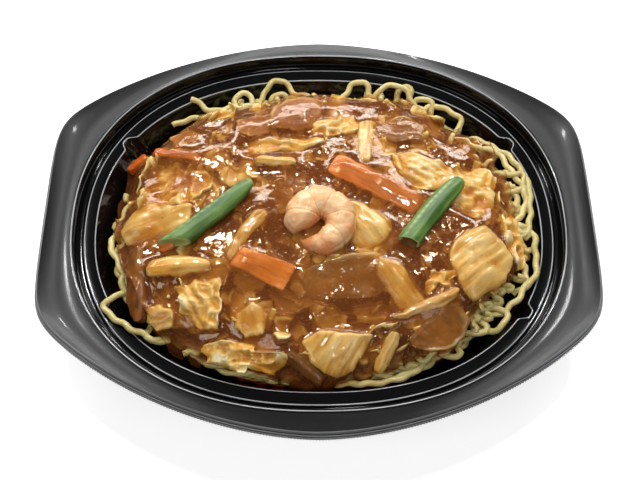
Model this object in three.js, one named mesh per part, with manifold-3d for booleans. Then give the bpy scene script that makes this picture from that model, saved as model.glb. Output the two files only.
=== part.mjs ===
// Noodles with a thick vegetable sauce, served in a winged oval tray.
//
// Everything is in millimetres, +Z up. The origin is the middle of the tray's flat underside.
// X runs along the tray from wing to wing and Y across it. The tray is one thin formed sheet.
// On its floor lies the bed of noodles, on the bed lies the layer of thick sauce, and the
// vegetables and the shrimp lie in and on the sauce. Each of them is a closed solid of its own,
// and touching solids keep a small gap.

import * as THREE from 'three';
import { mergeVertices } from 'three/addons/utils/BufferGeometryUtils.js';
import Module from 'manifold-3d';

const wasm = await Module();
wasm.setup();

// ---------------------------------------------------------------- driving dimensions

const GAP = 0.35;              // space between two solids that touch on the real dish

// tray: ovals are [half length, half depth], heights are above the table
const SHEET = 1.1;             // thickness of the formed sheet
const RIM_HEIGHT = 36;         // inner edge of the flat rim
const RIM = [113.3, 94.8];     // oval of the inner rim edge
const STEP_DROP = 6;           // fall from the rim to the sealing ledge
const LEDGE_OUTER = [108.4, 90];
const LEDGE_INNER = [103.4, 84];
const FLOOR = [86, 67];        // oval of the flat floor
const HEEL = [91, 72.5];       // where the floor's fillet turns into the wall
const HEEL_HEIGHT = 4.5;
const OVAL_POWER = 2.25;       // 2 is an ellipse, higher is squarer
const WING_HALF_LENGTH = 125;  // straight ends of the wings
const SIDE_OVAL = [150, 103.8];
const SIDE_POWER = 1.77;
const CORNER_SHARPNESS = 30;   // how tightly the wing corners turn
const CREST_DROP = 1.5;        // the outer crest lies this far below the rim at mid side
const WING_RISE = 5.8;         // and climbs by this much towards the wing ends
const WING_SCOOP = 1.1;        // hollow of the wing between rim and crest
const SKIRT_DROP = 5.2;        // height of the skirt under the crest
const SKIRT_FLARE = 1.4;       // how far the skirt stands out past the crest
const TRAY_SEGMENTS = 64;

// food: one smooth heap shape that every layer and every topping is measured from
const HEAP = [97, 80];         // oval where the heap's surface ends
const HEAP_POWER = 2.2;
const HEAP_TOP = RIM_HEIGHT + 9;
const HEAP_EDGE = RIM_HEIGHT - 10;
const HEAP_ROUNDNESS = 0.55;
const SAUCE = [92, 76];        // oval of the sauce's outline
const SAUCE_DEPTH = 7;         // thickness of the sauce layer on the noodles
const SAUCE_LIP = 2.6;         // thickness of the sauce at its outline
const LUMP = 0.7;              // unevenness of the sauce's surface
const BED = [94, 77];          // widest oval of the noodle bed
const BED_SHOULDER = RIM_HEIGHT - 13;
const HEAP_SEGMENTS = 40;

// ---------------------------------------------------------------- colours

function finish(colour, roughness) {
  return new THREE.MeshStandardMaterial({ color: colour, roughness, metalness: 0 });
}

const COLOURS = {
  tray: finish('#1c1c1e', 0.35),
  noodle: finish('#d8cb80', 0.45),
  sauce: finish('#9a5a22', 0.15),
  shrimp: finish('#eebd92', 0.3),
  bean: finish('#4f9250', 0.3),
  carrot: finish('#d9691f', 0.25),
  stalk: finish('#d3ae69', 0.25),
  leaf: finish('#c79a45', 0.3),
  slice: finish('#a8702f', 0.2),
  sprout: finish('#cdb084', 0.25),
};

// ---------------------------------------------------------------- closed bodies from rings

// Joins rings of equal length into one closed body. The first and last ring are closed by a
// fan round their own middle point.
function bodyFromRings(rings) {
  const count = rings[0].length;
  const points = [];
  for (const ring of rings) {
    points.push(...ring);
  }
  const faces = [];
  for (let r = 0; r + 1 < rings.length; r += 1) {
    for (let i = 0; i < count; i += 1) {
      const j = (i + 1) % count;
      const [a, b] = [r * count + i, r * count + j];
      const [c, d] = [b + count, a + count];
      // each four-sided patch is split along its shorter diagonal
      if (points[a].distanceTo(points[c]) < points[b].distanceTo(points[d])) {
        faces.push([a, b, c], [a, c, d]);
      } else {
        faces.push([a, b, d], [b, c, d]);
      }
    }
  }
  const closeEnd = (start, ring, inwards) => {
    const middle = new THREE.Vector3();
    ring.forEach((point) => middle.add(point));
    middle.divideScalar(count);
    points.push(middle);
    for (let i = 0; i < count; i += 1) {
      const a = start + i;
      const b = start + ((i + 1) % count);
      faces.push(inwards ? [points.length - 1, b, a] : [points.length - 1, a, b]);
    }
  };
  closeEnd(0, rings[0], true);
  closeEnd((rings.length - 1) * count, rings[rings.length - 1], false);
  const geometry = new THREE.BufferGeometry();
  geometry.setAttribute('position', new THREE.Float32BufferAttribute(
    points.flatMap((point) => point.toArray()), 3));
  geometry.setIndex(faces.flat());
  return geometry;
}

function solid(geometry) {
  const bare = geometry.clone();
  bare.deleteAttribute('normal');
  bare.deleteAttribute('uv');
  const merged = mergeVertices(bare, 1e-4);
  const mesh = new wasm.Mesh({
    numProp: 3,
    vertProperties: new Float32Array(merged.attributes.position.array),
    triVerts: new Uint32Array(merged.index.array),
  });
  return new wasm.Manifold(mesh);
}

// A cut can leave crumbs beside the piece, so the largest part is kept.
function largestPart(body) {
  const parts = body.decompose();
  parts.sort((a, b) => b.volume() - a.volume());
  return parts[0];
}

function geometryOf(body) {
  const mesh = body.getMesh();
  const geometry = new THREE.BufferGeometry();
  geometry.setAttribute('position', new THREE.BufferAttribute(mesh.vertProperties, 3));
  geometry.setIndex(new THREE.BufferAttribute(mesh.triVerts, 1));
  geometry.computeVertexNormals();
  return geometry;
}

function boxesMeet(a, b) {
  const p = a.boundingBox();
  const q = b.boundingBox();
  return [0, 1, 2].every((k) => p.min[k] < q.max[k] && q.min[k] < p.max[k]);
}

function cutBy(body, cutters) {
  let left = body;
  for (const cutter of cutters) {
    if (boxesMeet(left, cutter)) {
      left = left.subtract(cutter);
    }
  }
  return largestPart(left);
}

// ---------------------------------------------------------------- tray

function ovalRadius([halfLength, halfDepth], power, angle) {
  const along = Math.abs(Math.cos(angle)) / halfLength;
  const across = Math.abs(Math.sin(angle)) / halfDepth;
  return (along ** power + across ** power) ** (-1 / power);
}

// The tray's outer crest: bulged sides blended into the straight ends of the wings.
function crestRadius(angle) {
  const side = ovalRadius(SIDE_OVAL, SIDE_POWER, angle);
  const end = WING_HALF_LENGTH / Math.max(Math.abs(Math.cos(angle)), 1e-6);
  return (side ** -CORNER_SHARPNESS + end ** -CORNER_SHARPNESS) ** (-1 / CORNER_SHARPNESS);
}

function crestHeight(angle) {
  const x = crestRadius(angle) * Math.cos(angle);
  return RIM_HEIGHT - CREST_DROP + WING_RISE * (x / WING_HALF_LENGTH) ** 2;
}

// One ring of points round the tray. Radius and height are functions of the polar angle.
function trayRing(radiusAt, heightAt) {
  const ring = [];
  for (let i = 0; i < TRAY_SEGMENTS; i += 1) {
    const turn = (2 * Math.PI * i) / TRAY_SEGMENTS;
    const angle = Math.atan2(RIM[1] * Math.sin(turn), RIM[0] * Math.cos(turn));
    const radius = radiusAt(angle);
    ring.push(new THREE.Vector3(
      radius * Math.cos(angle), radius * Math.sin(angle), heightAt(angle)));
  }
  return ring;
}

function ovalRing(oval, outwards, height) {
  return trayRing((angle) => ovalRadius(oval, OVAL_POWER, angle) + outwards, () => height);
}

// A ring on the wing surface: share 0 is the inner rim edge, 1 is the crest.
function wingRing(share, lowered) {
  const radiusAt = (angle) => {
    const inner = ovalRadius(RIM, OVAL_POWER, angle);
    return inner + share * (crestRadius(angle) - inner);
  };
  const heightAt = (angle) => {
    const width = crestRadius(angle) - ovalRadius(RIM, OVAL_POWER, angle);
    const climb = (crestHeight(angle) - RIM_HEIGHT) * share ** 2;
    const scoop = (WING_SCOOP * Math.sin(Math.PI * share) * width) / 20;
    return RIM_HEIGHT + climb - scoop - lowered;
  };
  return trayRing(radiusAt, heightAt);
}

function skirtRing(outwards, drop) {
  return trayRing(
    (angle) => crestRadius(angle) + outwards,
    (angle) => crestHeight(angle) - drop);
}

function trayBody() {
  const ledgeHeight = RIM_HEIGHT - STEP_DROP;
  return bodyFromRings([
    // underside, from the middle of the floor outwards
    ovalRing(FLOOR, 0, 0),
    ovalRing(HEEL, SHEET, HEEL_HEIGHT - 0.4 * SHEET),
    ovalRing(LEDGE_INNER, SHEET, ledgeHeight - SHEET),
    ovalRing(LEDGE_OUTER, 0.4 * SHEET, ledgeHeight - SHEET),
    ovalRing(RIM, SHEET, RIM_HEIGHT - 0.8 * SHEET),
    wingRing(0.55, SHEET),
    skirtRing(-SHEET, 1.2 * SHEET),
    skirtRing(SKIRT_FLARE - SHEET, SKIRT_DROP),
    // outside of the skirt and the upper side, back to the middle
    skirtRing(SKIRT_FLARE, SKIRT_DROP),
    skirtRing(0.65 * SKIRT_FLARE, 0.5 * SKIRT_DROP),
    wingRing(1, 0),
    wingRing(0.8, 0),
    wingRing(0.5, 0),
    ovalRing(RIM, 0, RIM_HEIGHT),
    ovalRing(LEDGE_OUTER, 0, ledgeHeight),
    ovalRing(LEDGE_INNER, 0, ledgeHeight),
    ovalRing(HEEL, 0, HEEL_HEIGHT),
    ovalRing(FLOOR, -0.5 * SHEET, SHEET),
  ]);
}

// ---------------------------------------------------------------- heap, noodle bed, sauce

function heapHeight(x, y) {
  const along = (Math.abs(x) / HEAP[0]) ** HEAP_POWER;
  const across = (Math.abs(y) / HEAP[1]) ** HEAP_POWER;
  const inside = Math.max(0, 1 - along - across);
  return HEAP_EDGE + (HEAP_TOP - HEAP_EDGE) * inside ** HEAP_ROUNDNESS;
}

// The heap's outline is uneven, and the sauce has run a little towards the front left.
function uneven(angle) {
  const ripple = 0.012 * Math.sin(3 * angle + 0.6) + 0.01 * Math.sin(7 * angle + 2);
  return 1 + ripple + 0.02 * Math.cos(angle + 2.3);
}

function lumps(x, y) {
  return LUMP * (Math.sin(x / 7 + y / 19) * Math.cos(y / 8 - x / 23) + 0.5 * Math.sin(y / 5));
}

function heapRing(oval, share, heightAt) {
  const ring = [];
  for (let i = 0; i < HEAP_SEGMENTS; i += 1) {
    const angle = (2 * Math.PI * i) / HEAP_SEGMENTS;
    const radius = share * uneven(angle) * ovalRadius(oval, HEAP_POWER, angle);
    const x = radius * Math.cos(angle);
    const y = radius * Math.sin(angle);
    ring.push(new THREE.Vector3(x, y, heightAt(x, y)));
  }
  return ring;
}

const INNER_SHARES = [0.93, 0.76, 0.5, 0.2];
const LIP_SHARE = 0.985;
const SURFACE_SHARES = [0.96, 0.85, 0.68, 0.48, 0.25];

// The face on which the sauce lies on the noodles, at its outline and further in.
function lipBase(x, y) {
  return Math.min(heapHeight(x, y) - SAUCE_LIP, BED_SHOULDER + 3.5);
}

function layerBase(x, y) {
  return heapHeight(x, y) - SAUCE_DEPTH;
}

function bedBody() {
  const below = (heightAt) => (x, y) => heightAt(x, y) - GAP;
  const rings = [
    ovalRingOfHeap(FLOOR, SHEET + GAP),
    ovalRingOfHeap([HEEL[0] - 1.5, HEEL[1] - 1.5], HEEL_HEIGHT + 1),
    heapRing(BED, 0.95, () => BED_SHOULDER - 6),
    heapRing(BED, 1, () => BED_SHOULDER),
    heapRing(SAUCE, LIP_SHARE, below(lipBase)),
  ];
  for (const share of INNER_SHARES) {
    rings.push(heapRing(SAUCE, share, below(layerBase)));
  }
  return bodyFromRings(rings);
}

function ovalRingOfHeap(oval, height) {
  const ring = [];
  for (let i = 0; i < HEAP_SEGMENTS; i += 1) {
    const angle = (2 * Math.PI * i) / HEAP_SEGMENTS;
    const radius = ovalRadius(oval, OVAL_POWER, angle) - 1.2;
    ring.push(new THREE.Vector3(radius * Math.cos(angle), radius * Math.sin(angle), height));
  }
  return ring;
}

function sauceBody() {
  const top = (x, y) => heapHeight(x, y) + lumps(x, y);
  const rings = [];
  for (const share of [...INNER_SHARES].reverse()) {
    rings.push(heapRing(SAUCE, share, layerBase));
  }
  rings.push(heapRing(SAUCE, LIP_SHARE, lipBase));
  rings.push(heapRing(SAUCE, 1, (x, y) => lipBase(x, y) + 0.6 * SAUCE_LIP));
  for (const share of SURFACE_SHARES) {
    rings.push(heapRing(SAUCE, share, top));
  }
  return bodyFromRings(rings);
}

// ---------------------------------------------------------------- toppings

// Every topping is a bar of changing section that lies along its own X axis. Its outline seen
// from above and its section are both rounded boxes: power 2 is an ellipse, 6 is nearly
// square. bow lifts the middle of the bar, side bends it sideways, arch drops its long edges,
// and ruffle waves the surface, and skew cuts the near end at a slant. With grow above 0 the
// same shape comes out larger all round, which is what the neighbours are cut with.
function barBody(shape, grow) {
  const { length, width, thick } = shape;
  const { plan = 4, section = 3, bow = 0, side = 0, arch = 0 } = shape;
  const { ruffle = 0, waves = 2, taper = 0, skew = 0, stations = 6, sides = 8 } = shape;
  const halfLength = length / 2 + grow;
  const rings = [];
  for (let s = 0; s < stations; s += 1) {
    const turn = (Math.PI * s) / (stations - 1);
    const along = -Math.cos(turn) * 0.985;
    const planWidth = Math.max(0.3, (1 - Math.abs(along) ** plan) ** (1 / plan));
    const endThin = Math.max(0.55, (1 - Math.abs(along) ** 6) ** (1 / 6));
    const halfWidth = (width / 2) * planWidth * (1 + taper * along) + grow;
    const halfThick = (thick / 2) * endThin + grow;
    const ring = [];
    for (let i = 0; i < sides; i += 1) {
      const angle = (2 * Math.PI * i) / sides;
      const cos = Math.cos(angle);
      const sin = Math.sin(angle);
      const y = halfWidth * Math.sign(cos) * Math.abs(cos) ** (2 / section);
      const z = halfThick * Math.sign(sin) * Math.abs(sin) ** (2 / section);
      const x = halfLength * along - (skew * y * (1 - along)) / 2;
      const edge = y / (width / 2);
      const wave = ruffle * Math.sin(waves * Math.PI * along + 1.7 * edge) * (0.4 + edge * edge);
      ring.push(new THREE.Vector3(
        x,
        y + side * (1 - along * along),
        z + bow * (1 - along * along) - arch * edge * edge + wave,
      ));
    }
    rings.push(ring);
  }
  return bodyFromRings(rings);
}

// The peeled shrimp: a tapering round body curled into a ring that opens outwards, with the
// blunt head end on top and the thin tail lower down.
function shrimpBody(shape, grow) {
  const { ringRadius, opening, headRadius, tailRadius, tailDrop } = shape;
  const { headDegrees, tailDegrees, stations, sides } = shape;
  const rings = [];
  for (let s = 0; s < stations; s += 1) {
    const share = s / (stations - 1);
    const angle = THREE.MathUtils.degToRad(
      THREE.MathUtils.lerp(headDegrees, tailDegrees, share));
    const outwards = new THREE.Vector3(Math.cos(angle), Math.sin(angle), 0);
    const centre = outwards.clone().multiplyScalar(ringRadius + opening * share ** 5);
    centre.z = -tailDrop * share ** 2;
    const blunt = Math.min(1, 0.72 + 4 * share);
    const pointed = Math.min(1, 0.5 + 4 * (1 - share));
    const radius = THREE.MathUtils.lerp(headRadius, tailRadius, share ** 2) * blunt * pointed + grow;
    const ring = [];
    for (let i = 0; i < sides; i += 1) {
      const around = (2 * Math.PI * i) / sides;
      const point = centre.clone();
      point.addScaledVector(outwards, radius * Math.cos(around));
      point.z += radius * 0.92 * Math.sin(around);
      ring.push(point);
    }
    rings.push(ring);
  }
  return bodyFromRings(rings);
}

// Places a topping on the heap: x and y on the tray, heading in degrees from the X axis, and
// lift of its middle above the sauce. The piece tips with the heap's slope there.
function seatOnHeap(geometry, { x, y, heading, lift, tilt = 0, roll = 0 }) {
  const probe = 4;
  const slopeX = (heapHeight(x + probe, y) - heapHeight(x - probe, y)) / (2 * probe);
  const slopeY = (heapHeight(x, y + probe) - heapHeight(x, y - probe)) / (2 * probe);
  const up = new THREE.Vector3(-slopeX, -slopeY, 1).normalize();
  const turn = THREE.MathUtils.degToRad(heading);
  const forward = new THREE.Vector3(Math.cos(turn), Math.sin(turn), 0);
  const across = new THREE.Vector3().crossVectors(up, forward).normalize();
  const along = new THREE.Vector3().crossVectors(across, up);
  const lie = new THREE.Matrix4().makeBasis(along, across, up);
  lie.multiply(new THREE.Matrix4().makeRotationY(-THREE.MathUtils.degToRad(tilt)));
  lie.multiply(new THREE.Matrix4().makeRotationX(THREE.MathUtils.degToRad(roll)));
  lie.setPosition(new THREE.Vector3(x, y, heapHeight(x, y)).addScaledVector(up, lift));
  return geometry.clone().applyMatrix4(lie);
}

const POD = { plan: 4, section: 2.2, stations: 7 };
const STALK = { plan: 6, section: 3, arch: 1 };
const LEAF = { plan: 3, section: 2.6, ruffle: 0.9 };
const SLICE = { plan: 2.6, section: 2.6, arch: 0.8, stations: 5 };
const STICK = { plan: 5, section: 2.4, stations: 5 };

// Listed from the topmost piece down: a lower piece is cut where a higher one lies on it.
const TOPPINGS = [
  {
    name: 'shrimp', colour: 'shrimp', body: shrimpBody,
    shape: {
      ringRadius: 8.8, opening: 3.6, headRadius: 7.3, tailRadius: 5.2, tailDrop: 3,
      headDegrees: 203, tailDegrees: -122, stations: 14, sides: 10,
    },
    seat: { x: 0.6, y: -9, heading: 0, lift: 4.6 },
  },
  {
    name: 'bean_pod_left', colour: 'bean',
    shape: { ...POD, length: 47, width: 10.4, thick: 7.4, side: -1, skew: 1.1, taper: -0.12 },
    seat: { x: -49.5, y: -4, heading: 41, lift: 3.4 },
  },
  {
    name: 'bean_pod_right', colour: 'bean',
    shape: { ...POD, length: 44, width: 10.4, thick: 7.6, side: 1, skew: 0.3 },
    seat: { x: 51, y: -3, heading: 53, lift: 3.4 },
  },
  {
    name: 'carrot_slab', colour: 'carrot',
    shape: { ...STALK, length: 46, width: 12.5, thick: 4.4, arch: 0, bow: 1 },
    seat: { x: 26, y: 12, heading: -28, lift: 0.9 },
  },
  {
    name: 'carrot_cut', colour: 'carrot',
    shape: { ...STALK, length: 27, width: 12, thick: 6.5, arch: 0, taper: 0.15 },
    seat: { x: -25, y: -31, heading: -25, lift: 1.2 },
  },
  {
    name: 'stalk_ribbed_right', colour: 'stalk',
    shape: { ...STALK, length: 31, width: 25, thick: 5, arch: 2, sides: 10 },
    seat: { x: 70, y: -25, heading: -38, lift: 1.4 },
  },
  {
    name: 'stalk_beside_shrimp', colour: 'stalk',
    shape: { ...STALK, length: 25, width: 15, thick: 5, arch: 1.5 },
    seat: { x: 24, y: -11, heading: -50, lift: 0.8 },
  },
  {
    name: 'stalk_diamond_front', colour: 'stalk',
    shape: { ...STALK, length: 25, width: 21, thick: 4.6, arch: 1.2, skew: 0.2 },
    seat: { x: 10, y: -67, heading: 42, lift: 1.1 },
  },
  {
    name: 'stalk_smooth_left', colour: 'stalk',
    shape: { ...STALK, length: 38, width: 19, thick: 5.5, arch: 2.5, taper: 0.12, sides: 10 },
    seat: { x: -73, y: -6, heading: 12, lift: 0.8 },
  },
  {
    name: 'stalk_stick_left', colour: 'stalk',
    shape: { ...STICK, length: 29, width: 9.5, thick: 7 },
    seat: { x: -62, y: -29, heading: 3, lift: 0.9 },
  },
  {
    name: 'leaf_crinkled_left', colour: 'leaf',
    shape: { ...LEAF, length: 34, width: 26, thick: 3.6, arch: 1.5 },
    seat: { x: -65, y: 15, heading: 22, lift: 0.8 },
  },
  {
    name: 'leaf_wrinkled_right', colour: 'leaf',
    shape: { ...LEAF, length: 50, width: 24, thick: 3.8, arch: 1.5, waves: 3 },
    seat: { x: 64, y: 17, heading: -24, lift: 0.8 },
  },
  {
    name: 'leaf_frilled_front', colour: 'leaf',
    shape: { ...LEAF, length: 39, width: 14, thick: 4.5, ruffle: 1.2, waves: 3 },
    seat: { x: -33, y: -68, heading: -3, lift: 1.2 },
  },
  {
    name: 'leaf_crumpled_left', colour: 'leaf',
    shape: { ...LEAF, length: 30, width: 18, thick: 4, waves: 3 },
    seat: { x: -50, y: -46, heading: -8, lift: 0.9 },
  },
  {
    name: 'leaf_edge_right', colour: 'leaf',
    shape: { ...LEAF, length: 27, width: 12, thick: 4.5, waves: 3 },
    seat: { x: 88, y: -13, heading: -76, lift: 0.8 },
  },
  {
    name: 'leaf_yellow_back', colour: 'leaf',
    shape: { ...LEAF, length: 25, width: 13, thick: 4 },
    seat: { x: 8, y: 47, heading: 14, lift: 1 },
  },
  {
    name: 'leaf_long_back', colour: 'leaf',
    shape: { ...LEAF, length: 42, width: 9.5, thick: 4, waves: 4 },
    seat: { x: -16, y: 34, heading: 0, lift: 0.9 },
  },
  {
    name: 'leaf_small_right', colour: 'leaf',
    shape: { ...LEAF, length: 18, width: 12, thick: 3.5 },
    seat: { x: 52, y: -36, heading: -35, lift: 0.5 },
  },
  {
    name: 'sprout_long', colour: 'sprout',
    shape: { ...STICK, length: 33, width: 5.6, thick: 5, taper: 0.25, side: -1.5 },
    seat: { x: 46, y: -47, heading: 24, lift: 1.4 },
  },
  {
    name: 'sprout_bundle', colour: 'sprout',
    shape: { ...STICK, length: 29, width: 8, thick: 5, side: 2 },
    seat: { x: -32, y: -15, heading: 57, lift: 1 },
  },
  {
    name: 'stalk_white_back', colour: 'stalk',
    shape: { ...STICK, length: 19, width: 5.6, thick: 5 },
    seat: { x: -20, y: 24, heading: -3, lift: 1 },
  },
  {
    name: 'stalk_upright_back', colour: 'stalk',
    shape: { ...STICK, length: 28, width: 7.5, thick: 5 },
    seat: { x: 22, y: 37, heading: 88, lift: 0.8 },
  },
  {
    name: 'stalk_short_front', colour: 'stalk',
    shape: { ...STICK, length: 17, width: 6.5, thick: 5 },
    seat: { x: 29, y: -67, heading: 70, lift: 0.9 },
  },
  {
    name: 'strip_front', colour: 'slice',
    shape: { ...STICK, length: 20, width: 7, thick: 4 },
    seat: { x: -7, y: -74, heading: -45, lift: 0.9 },
  },
  {
    name: 'strip_middle', colour: 'slice',
    shape: { ...STICK, length: 36, width: 11, thick: 4.5 },
    seat: { x: 36, y: -39, heading: -52, lift: 0.6 },
  },
  {
    name: 'slice_middle', colour: 'slice',
    shape: { ...SLICE, length: 40, width: 19, thick: 4 },
    seat: { x: 13, y: -36, heading: 0, lift: 0.4 },
  },
  {
    name: 'slice_rimmed_front', colour: 'slice',
    shape: { ...SLICE, length: 34, width: 14, thick: 4.4 },
    seat: { x: 50, y: -60, heading: 27, lift: 0.7 },
  },
  {
    name: 'slice_round_back', colour: 'slice',
    shape: { ...SLICE, length: 27, width: 20, thick: 4.4 },
    seat: { x: -12, y: 54, heading: 80, lift: 0.5 },
  },
  {
    name: 'slice_tan_back', colour: 'slice',
    shape: { ...SLICE, length: 19, width: 16, thick: 4 },
    seat: { x: -31, y: 47, heading: 60, lift: 0.5 },
  },
  {
    name: 'slice_brown_back', colour: 'slice',
    shape: { ...SLICE, length: 24, width: 15, thick: 4 },
    seat: { x: 40, y: 46, heading: -12, lift: 0.5 },
  },
  {
    name: 'slice_tan_left', colour: 'slice',
    shape: { ...SLICE, length: 15, width: 12, thick: 4 },
    seat: { x: -64, y: 42, heading: 15, lift: 0.6 },
  },
  {
    name: 'carrot_sliver', colour: 'carrot',
    shape: { ...STICK, length: 24, width: 5.5, thick: 4 },
    seat: { x: -67, y: 32, heading: -20, lift: 0.9 },
  },
  {
    name: 'carrot_tip', colour: 'carrot',
    shape: { ...STICK, length: 11, width: 6, thick: 4.5, taper: 0.3 },
    seat: { x: -86, y: 32, heading: 25, lift: 0.9 },
  },
  {
    name: 'stick_edge_left', colour: 'slice',
    shape: { ...STICK, length: 36, width: 9, thick: 5.5, side: -2 },
    seat: { x: -80, y: -35, heading: -88, lift: 0.7 },
  },
  {
    name: 'lump_left', colour: 'stalk',
    shape: { ...SLICE, length: 15, width: 11, thick: 5 },
    seat: { x: -69, y: -51, heading: 70, lift: 0.6 },
  },
  {
    name: 'lump_front', colour: 'slice',
    shape: { ...SLICE, length: 16, width: 14, thick: 5 },
    seat: { x: -30, y: -55, heading: 90, lift: 0.5 },
  },
];

// ---------------------------------------------------------------- the whole dish

const dish = new THREE.Group();

function addPiece(name, geometry, material) {
  const mesh = new THREE.Mesh(geometry, material);
  mesh.name = name;
  dish.add(mesh);
}

const cutters = [];
for (const topping of TOPPINGS) {
  const make = topping.body ?? barBody;
  const piece = solid(seatOnHeap(make(topping.shape, 0), topping.seat));
  const placed = cutBy(piece, cutters);
  addPiece(topping.name, geometryOf(placed), COLOURS[topping.colour]);
  cutters.push(solid(seatOnHeap(make(topping.shape, GAP), topping.seat)));
}

addPiece('sauce', geometryOf(cutBy(solid(sauceBody()), cutters)), COLOURS.sauce);
addPiece('noodles', geometryOf(cutBy(solid(bedBody()), cutters)), COLOURS.noodle);
addPiece('tray', geometryOf(solid(trayBody())), COLOURS.tray);

export default dish;
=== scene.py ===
# %% [markdown]
# # Noodles with a thick vegetable sauce in a winged oval tray
#
# This lesson dresses a plain solid model of one noodle meal. The solids give every place and
# size. Here each of them gets a fine surface and a finish: a black formed tray, curly noodles,
# a brown translucent sauce and the vegetables and the shrimp that lie in it.
#
# The frame is loaded first. Its solids are kept, hidden, because every fine piece takes its place
# and size from their boxes.

# %% Load the frame
import itertools
import math

import bpy
import numpy as np
from mathutils import Matrix, Vector
from mathutils.bvhtree import BVHTree


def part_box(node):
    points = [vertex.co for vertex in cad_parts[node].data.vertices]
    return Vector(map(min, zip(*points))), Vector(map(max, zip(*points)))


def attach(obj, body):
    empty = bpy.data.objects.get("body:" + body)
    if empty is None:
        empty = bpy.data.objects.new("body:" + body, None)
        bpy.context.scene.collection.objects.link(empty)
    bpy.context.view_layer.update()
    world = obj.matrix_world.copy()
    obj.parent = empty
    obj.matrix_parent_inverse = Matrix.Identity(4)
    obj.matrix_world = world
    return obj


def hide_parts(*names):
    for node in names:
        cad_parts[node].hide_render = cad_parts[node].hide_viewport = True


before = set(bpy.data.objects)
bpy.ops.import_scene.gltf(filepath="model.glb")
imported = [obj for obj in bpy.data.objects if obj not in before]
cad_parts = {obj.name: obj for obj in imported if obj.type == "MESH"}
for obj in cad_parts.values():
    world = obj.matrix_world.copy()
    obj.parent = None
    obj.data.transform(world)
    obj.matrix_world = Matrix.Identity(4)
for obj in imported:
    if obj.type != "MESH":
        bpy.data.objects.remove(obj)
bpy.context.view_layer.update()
MM = 0.001
print("pieces in the frame:", len(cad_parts))


def spot(node):
    """Middle of a solid's box seen from above, in millimetres."""
    low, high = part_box(node)
    return (low[0] + high[0]) / 2 / MM, (low[1] + high[1]) / 2 / MM


# %% [markdown]
# ## Floor and camera
#
# The floor is pale and plain, and the dish stands in its middle. The camera looks down at sixty
# degrees. A longish lens from half a metre away keeps the far rim nearly as wide as the near
# one. It could be aimed by a constraint, but three plain directions leave nothing to chance.

# %% Floor and camera
RIM_HEIGHT = 36.0
LOOK_AT = (0.4, -12.6, RIM_HEIGHT)
CAMERA_DISTANCE = 492
FLOOR_HALF = 3.0


def look_frame(elevation, yaw, roll):
    """Right, up and back directions of a camera that looks down at the dish."""
    tip = math.radians(elevation)
    back = Vector((math.sin(yaw) * math.cos(tip), -math.cos(yaw) * math.cos(tip), math.sin(tip)))
    right = Vector((math.cos(yaw), math.sin(yaw), 0))
    up = back.cross(right)
    turned = math.cos(roll) * right + math.sin(roll) * up
    return turned, back.cross(turned), back


def add_camera():
    right, up, back = look_frame(elevation=60, yaw=-0.016, roll=0.014)
    data = bpy.data.cameras.new("camera")
    data.lens = 60.8
    data.clip_start = 0.01
    camera = bpy.data.objects.new("camera", data)
    place = Vector(LOOK_AT) * MM + back * CAMERA_DISTANCE * MM
    turned = Matrix((right, up, back)).transposed().to_4x4()
    camera.matrix_world = Matrix.Translation(place) @ turned
    bpy.context.scene.collection.objects.link(camera)
    bpy.context.scene.camera = camera


def add_floor():
    mesh = bpy.data.meshes.new("floor")
    corners = [(-1, -1), (1, -1), (1, 1), (-1, 1)]
    mesh.from_pydata([(x * FLOOR_HALF, y * FLOOR_HALF, 0) for x, y in corners],
                     [], [(0, 1, 2, 3)])
    floor = bpy.data.objects.new("floor", mesh)
    bpy.context.scene.collection.objects.link(floor)
    return floor


add_camera()
floor = add_floor()
print("camera lens:", bpy.context.scene.camera.data.lens)

# %% [markdown]
# ## Light
#
# A black tray shows its form only in what it mirrors. So the main light is a wide soft panel
# low behind the dish: the wings and the far rim catch it, and the flat ledges stay dark. Small
# bright lamps give the short white glints of a wet sauce. A weak even sky fills the shadows.

# %% Lights
# Azimuth and elevation in degrees, distance and size in metres, and power in watts.
PANELS = {
    "back_panel": (0, 32, 1.1, (1.5, 0.2), 10.5),
    "left_fill": (-125, 42, 1.2, (0.5, 0.4), 2.3),
    "right_fill": (130, 44, 1.2, (0.5, 0.4), 1.4),
    "glint_left": (-38, 58, 0.9, (0.09, 0.05), 2.7),
    "glint_right": (42, 60, 0.9, (0.07, 0.04), 1.8),
    "glint_back": (8, 44, 0.9, (0.05, 0.02), 1.1),
    "overhead": (170, 62, 1.2, (0.12, 0.10), 2.0),
}


def add_panel(name, azimuth, elevation, distance, size, power):
    """A soft rectangular lamp that faces the dish. Azimuth 0 stands behind it, 90 to the right."""
    turn, tip = math.radians(azimuth), math.radians(elevation)
    away = Vector((math.sin(turn) * math.cos(tip), math.cos(turn) * math.cos(tip), math.sin(tip)))
    data = bpy.data.lights.new(name, "AREA")
    data.shape = "RECTANGLE"
    data.size, data.size_y = size
    data.energy = power
    lamp = bpy.data.objects.new(name, data)
    aim = Vector((0, 0, RIM_HEIGHT * MM))
    lamp.location = aim + away * distance
    lamp.rotation_euler = away.to_track_quat("Z", "Y").to_euler()
    bpy.context.scene.collection.objects.link(lamp)


for name, values in PANELS.items():
    add_panel(name, *values)

world = bpy.data.worlds.new("sky")
bpy.context.scene.world = world
world.use_nodes = True
sky = world.node_tree.nodes["Background"].inputs
sky["Color"].default_value = (0.95, 0.97, 1.0, 1)
sky["Strength"].default_value = 0.06
bpy.context.scene.view_settings.view_transform = "Standard"
print("lights:", len(bpy.data.lights))

# %% [markdown]
# ## Shader maths as plain expressions
#
# A finish is a small sum: a colour, plus some noise, times a mask. Written as nodes and links
# it is hard to read, so one class wraps a socket and lets Python's own operators add the Math
# nodes.

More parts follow.
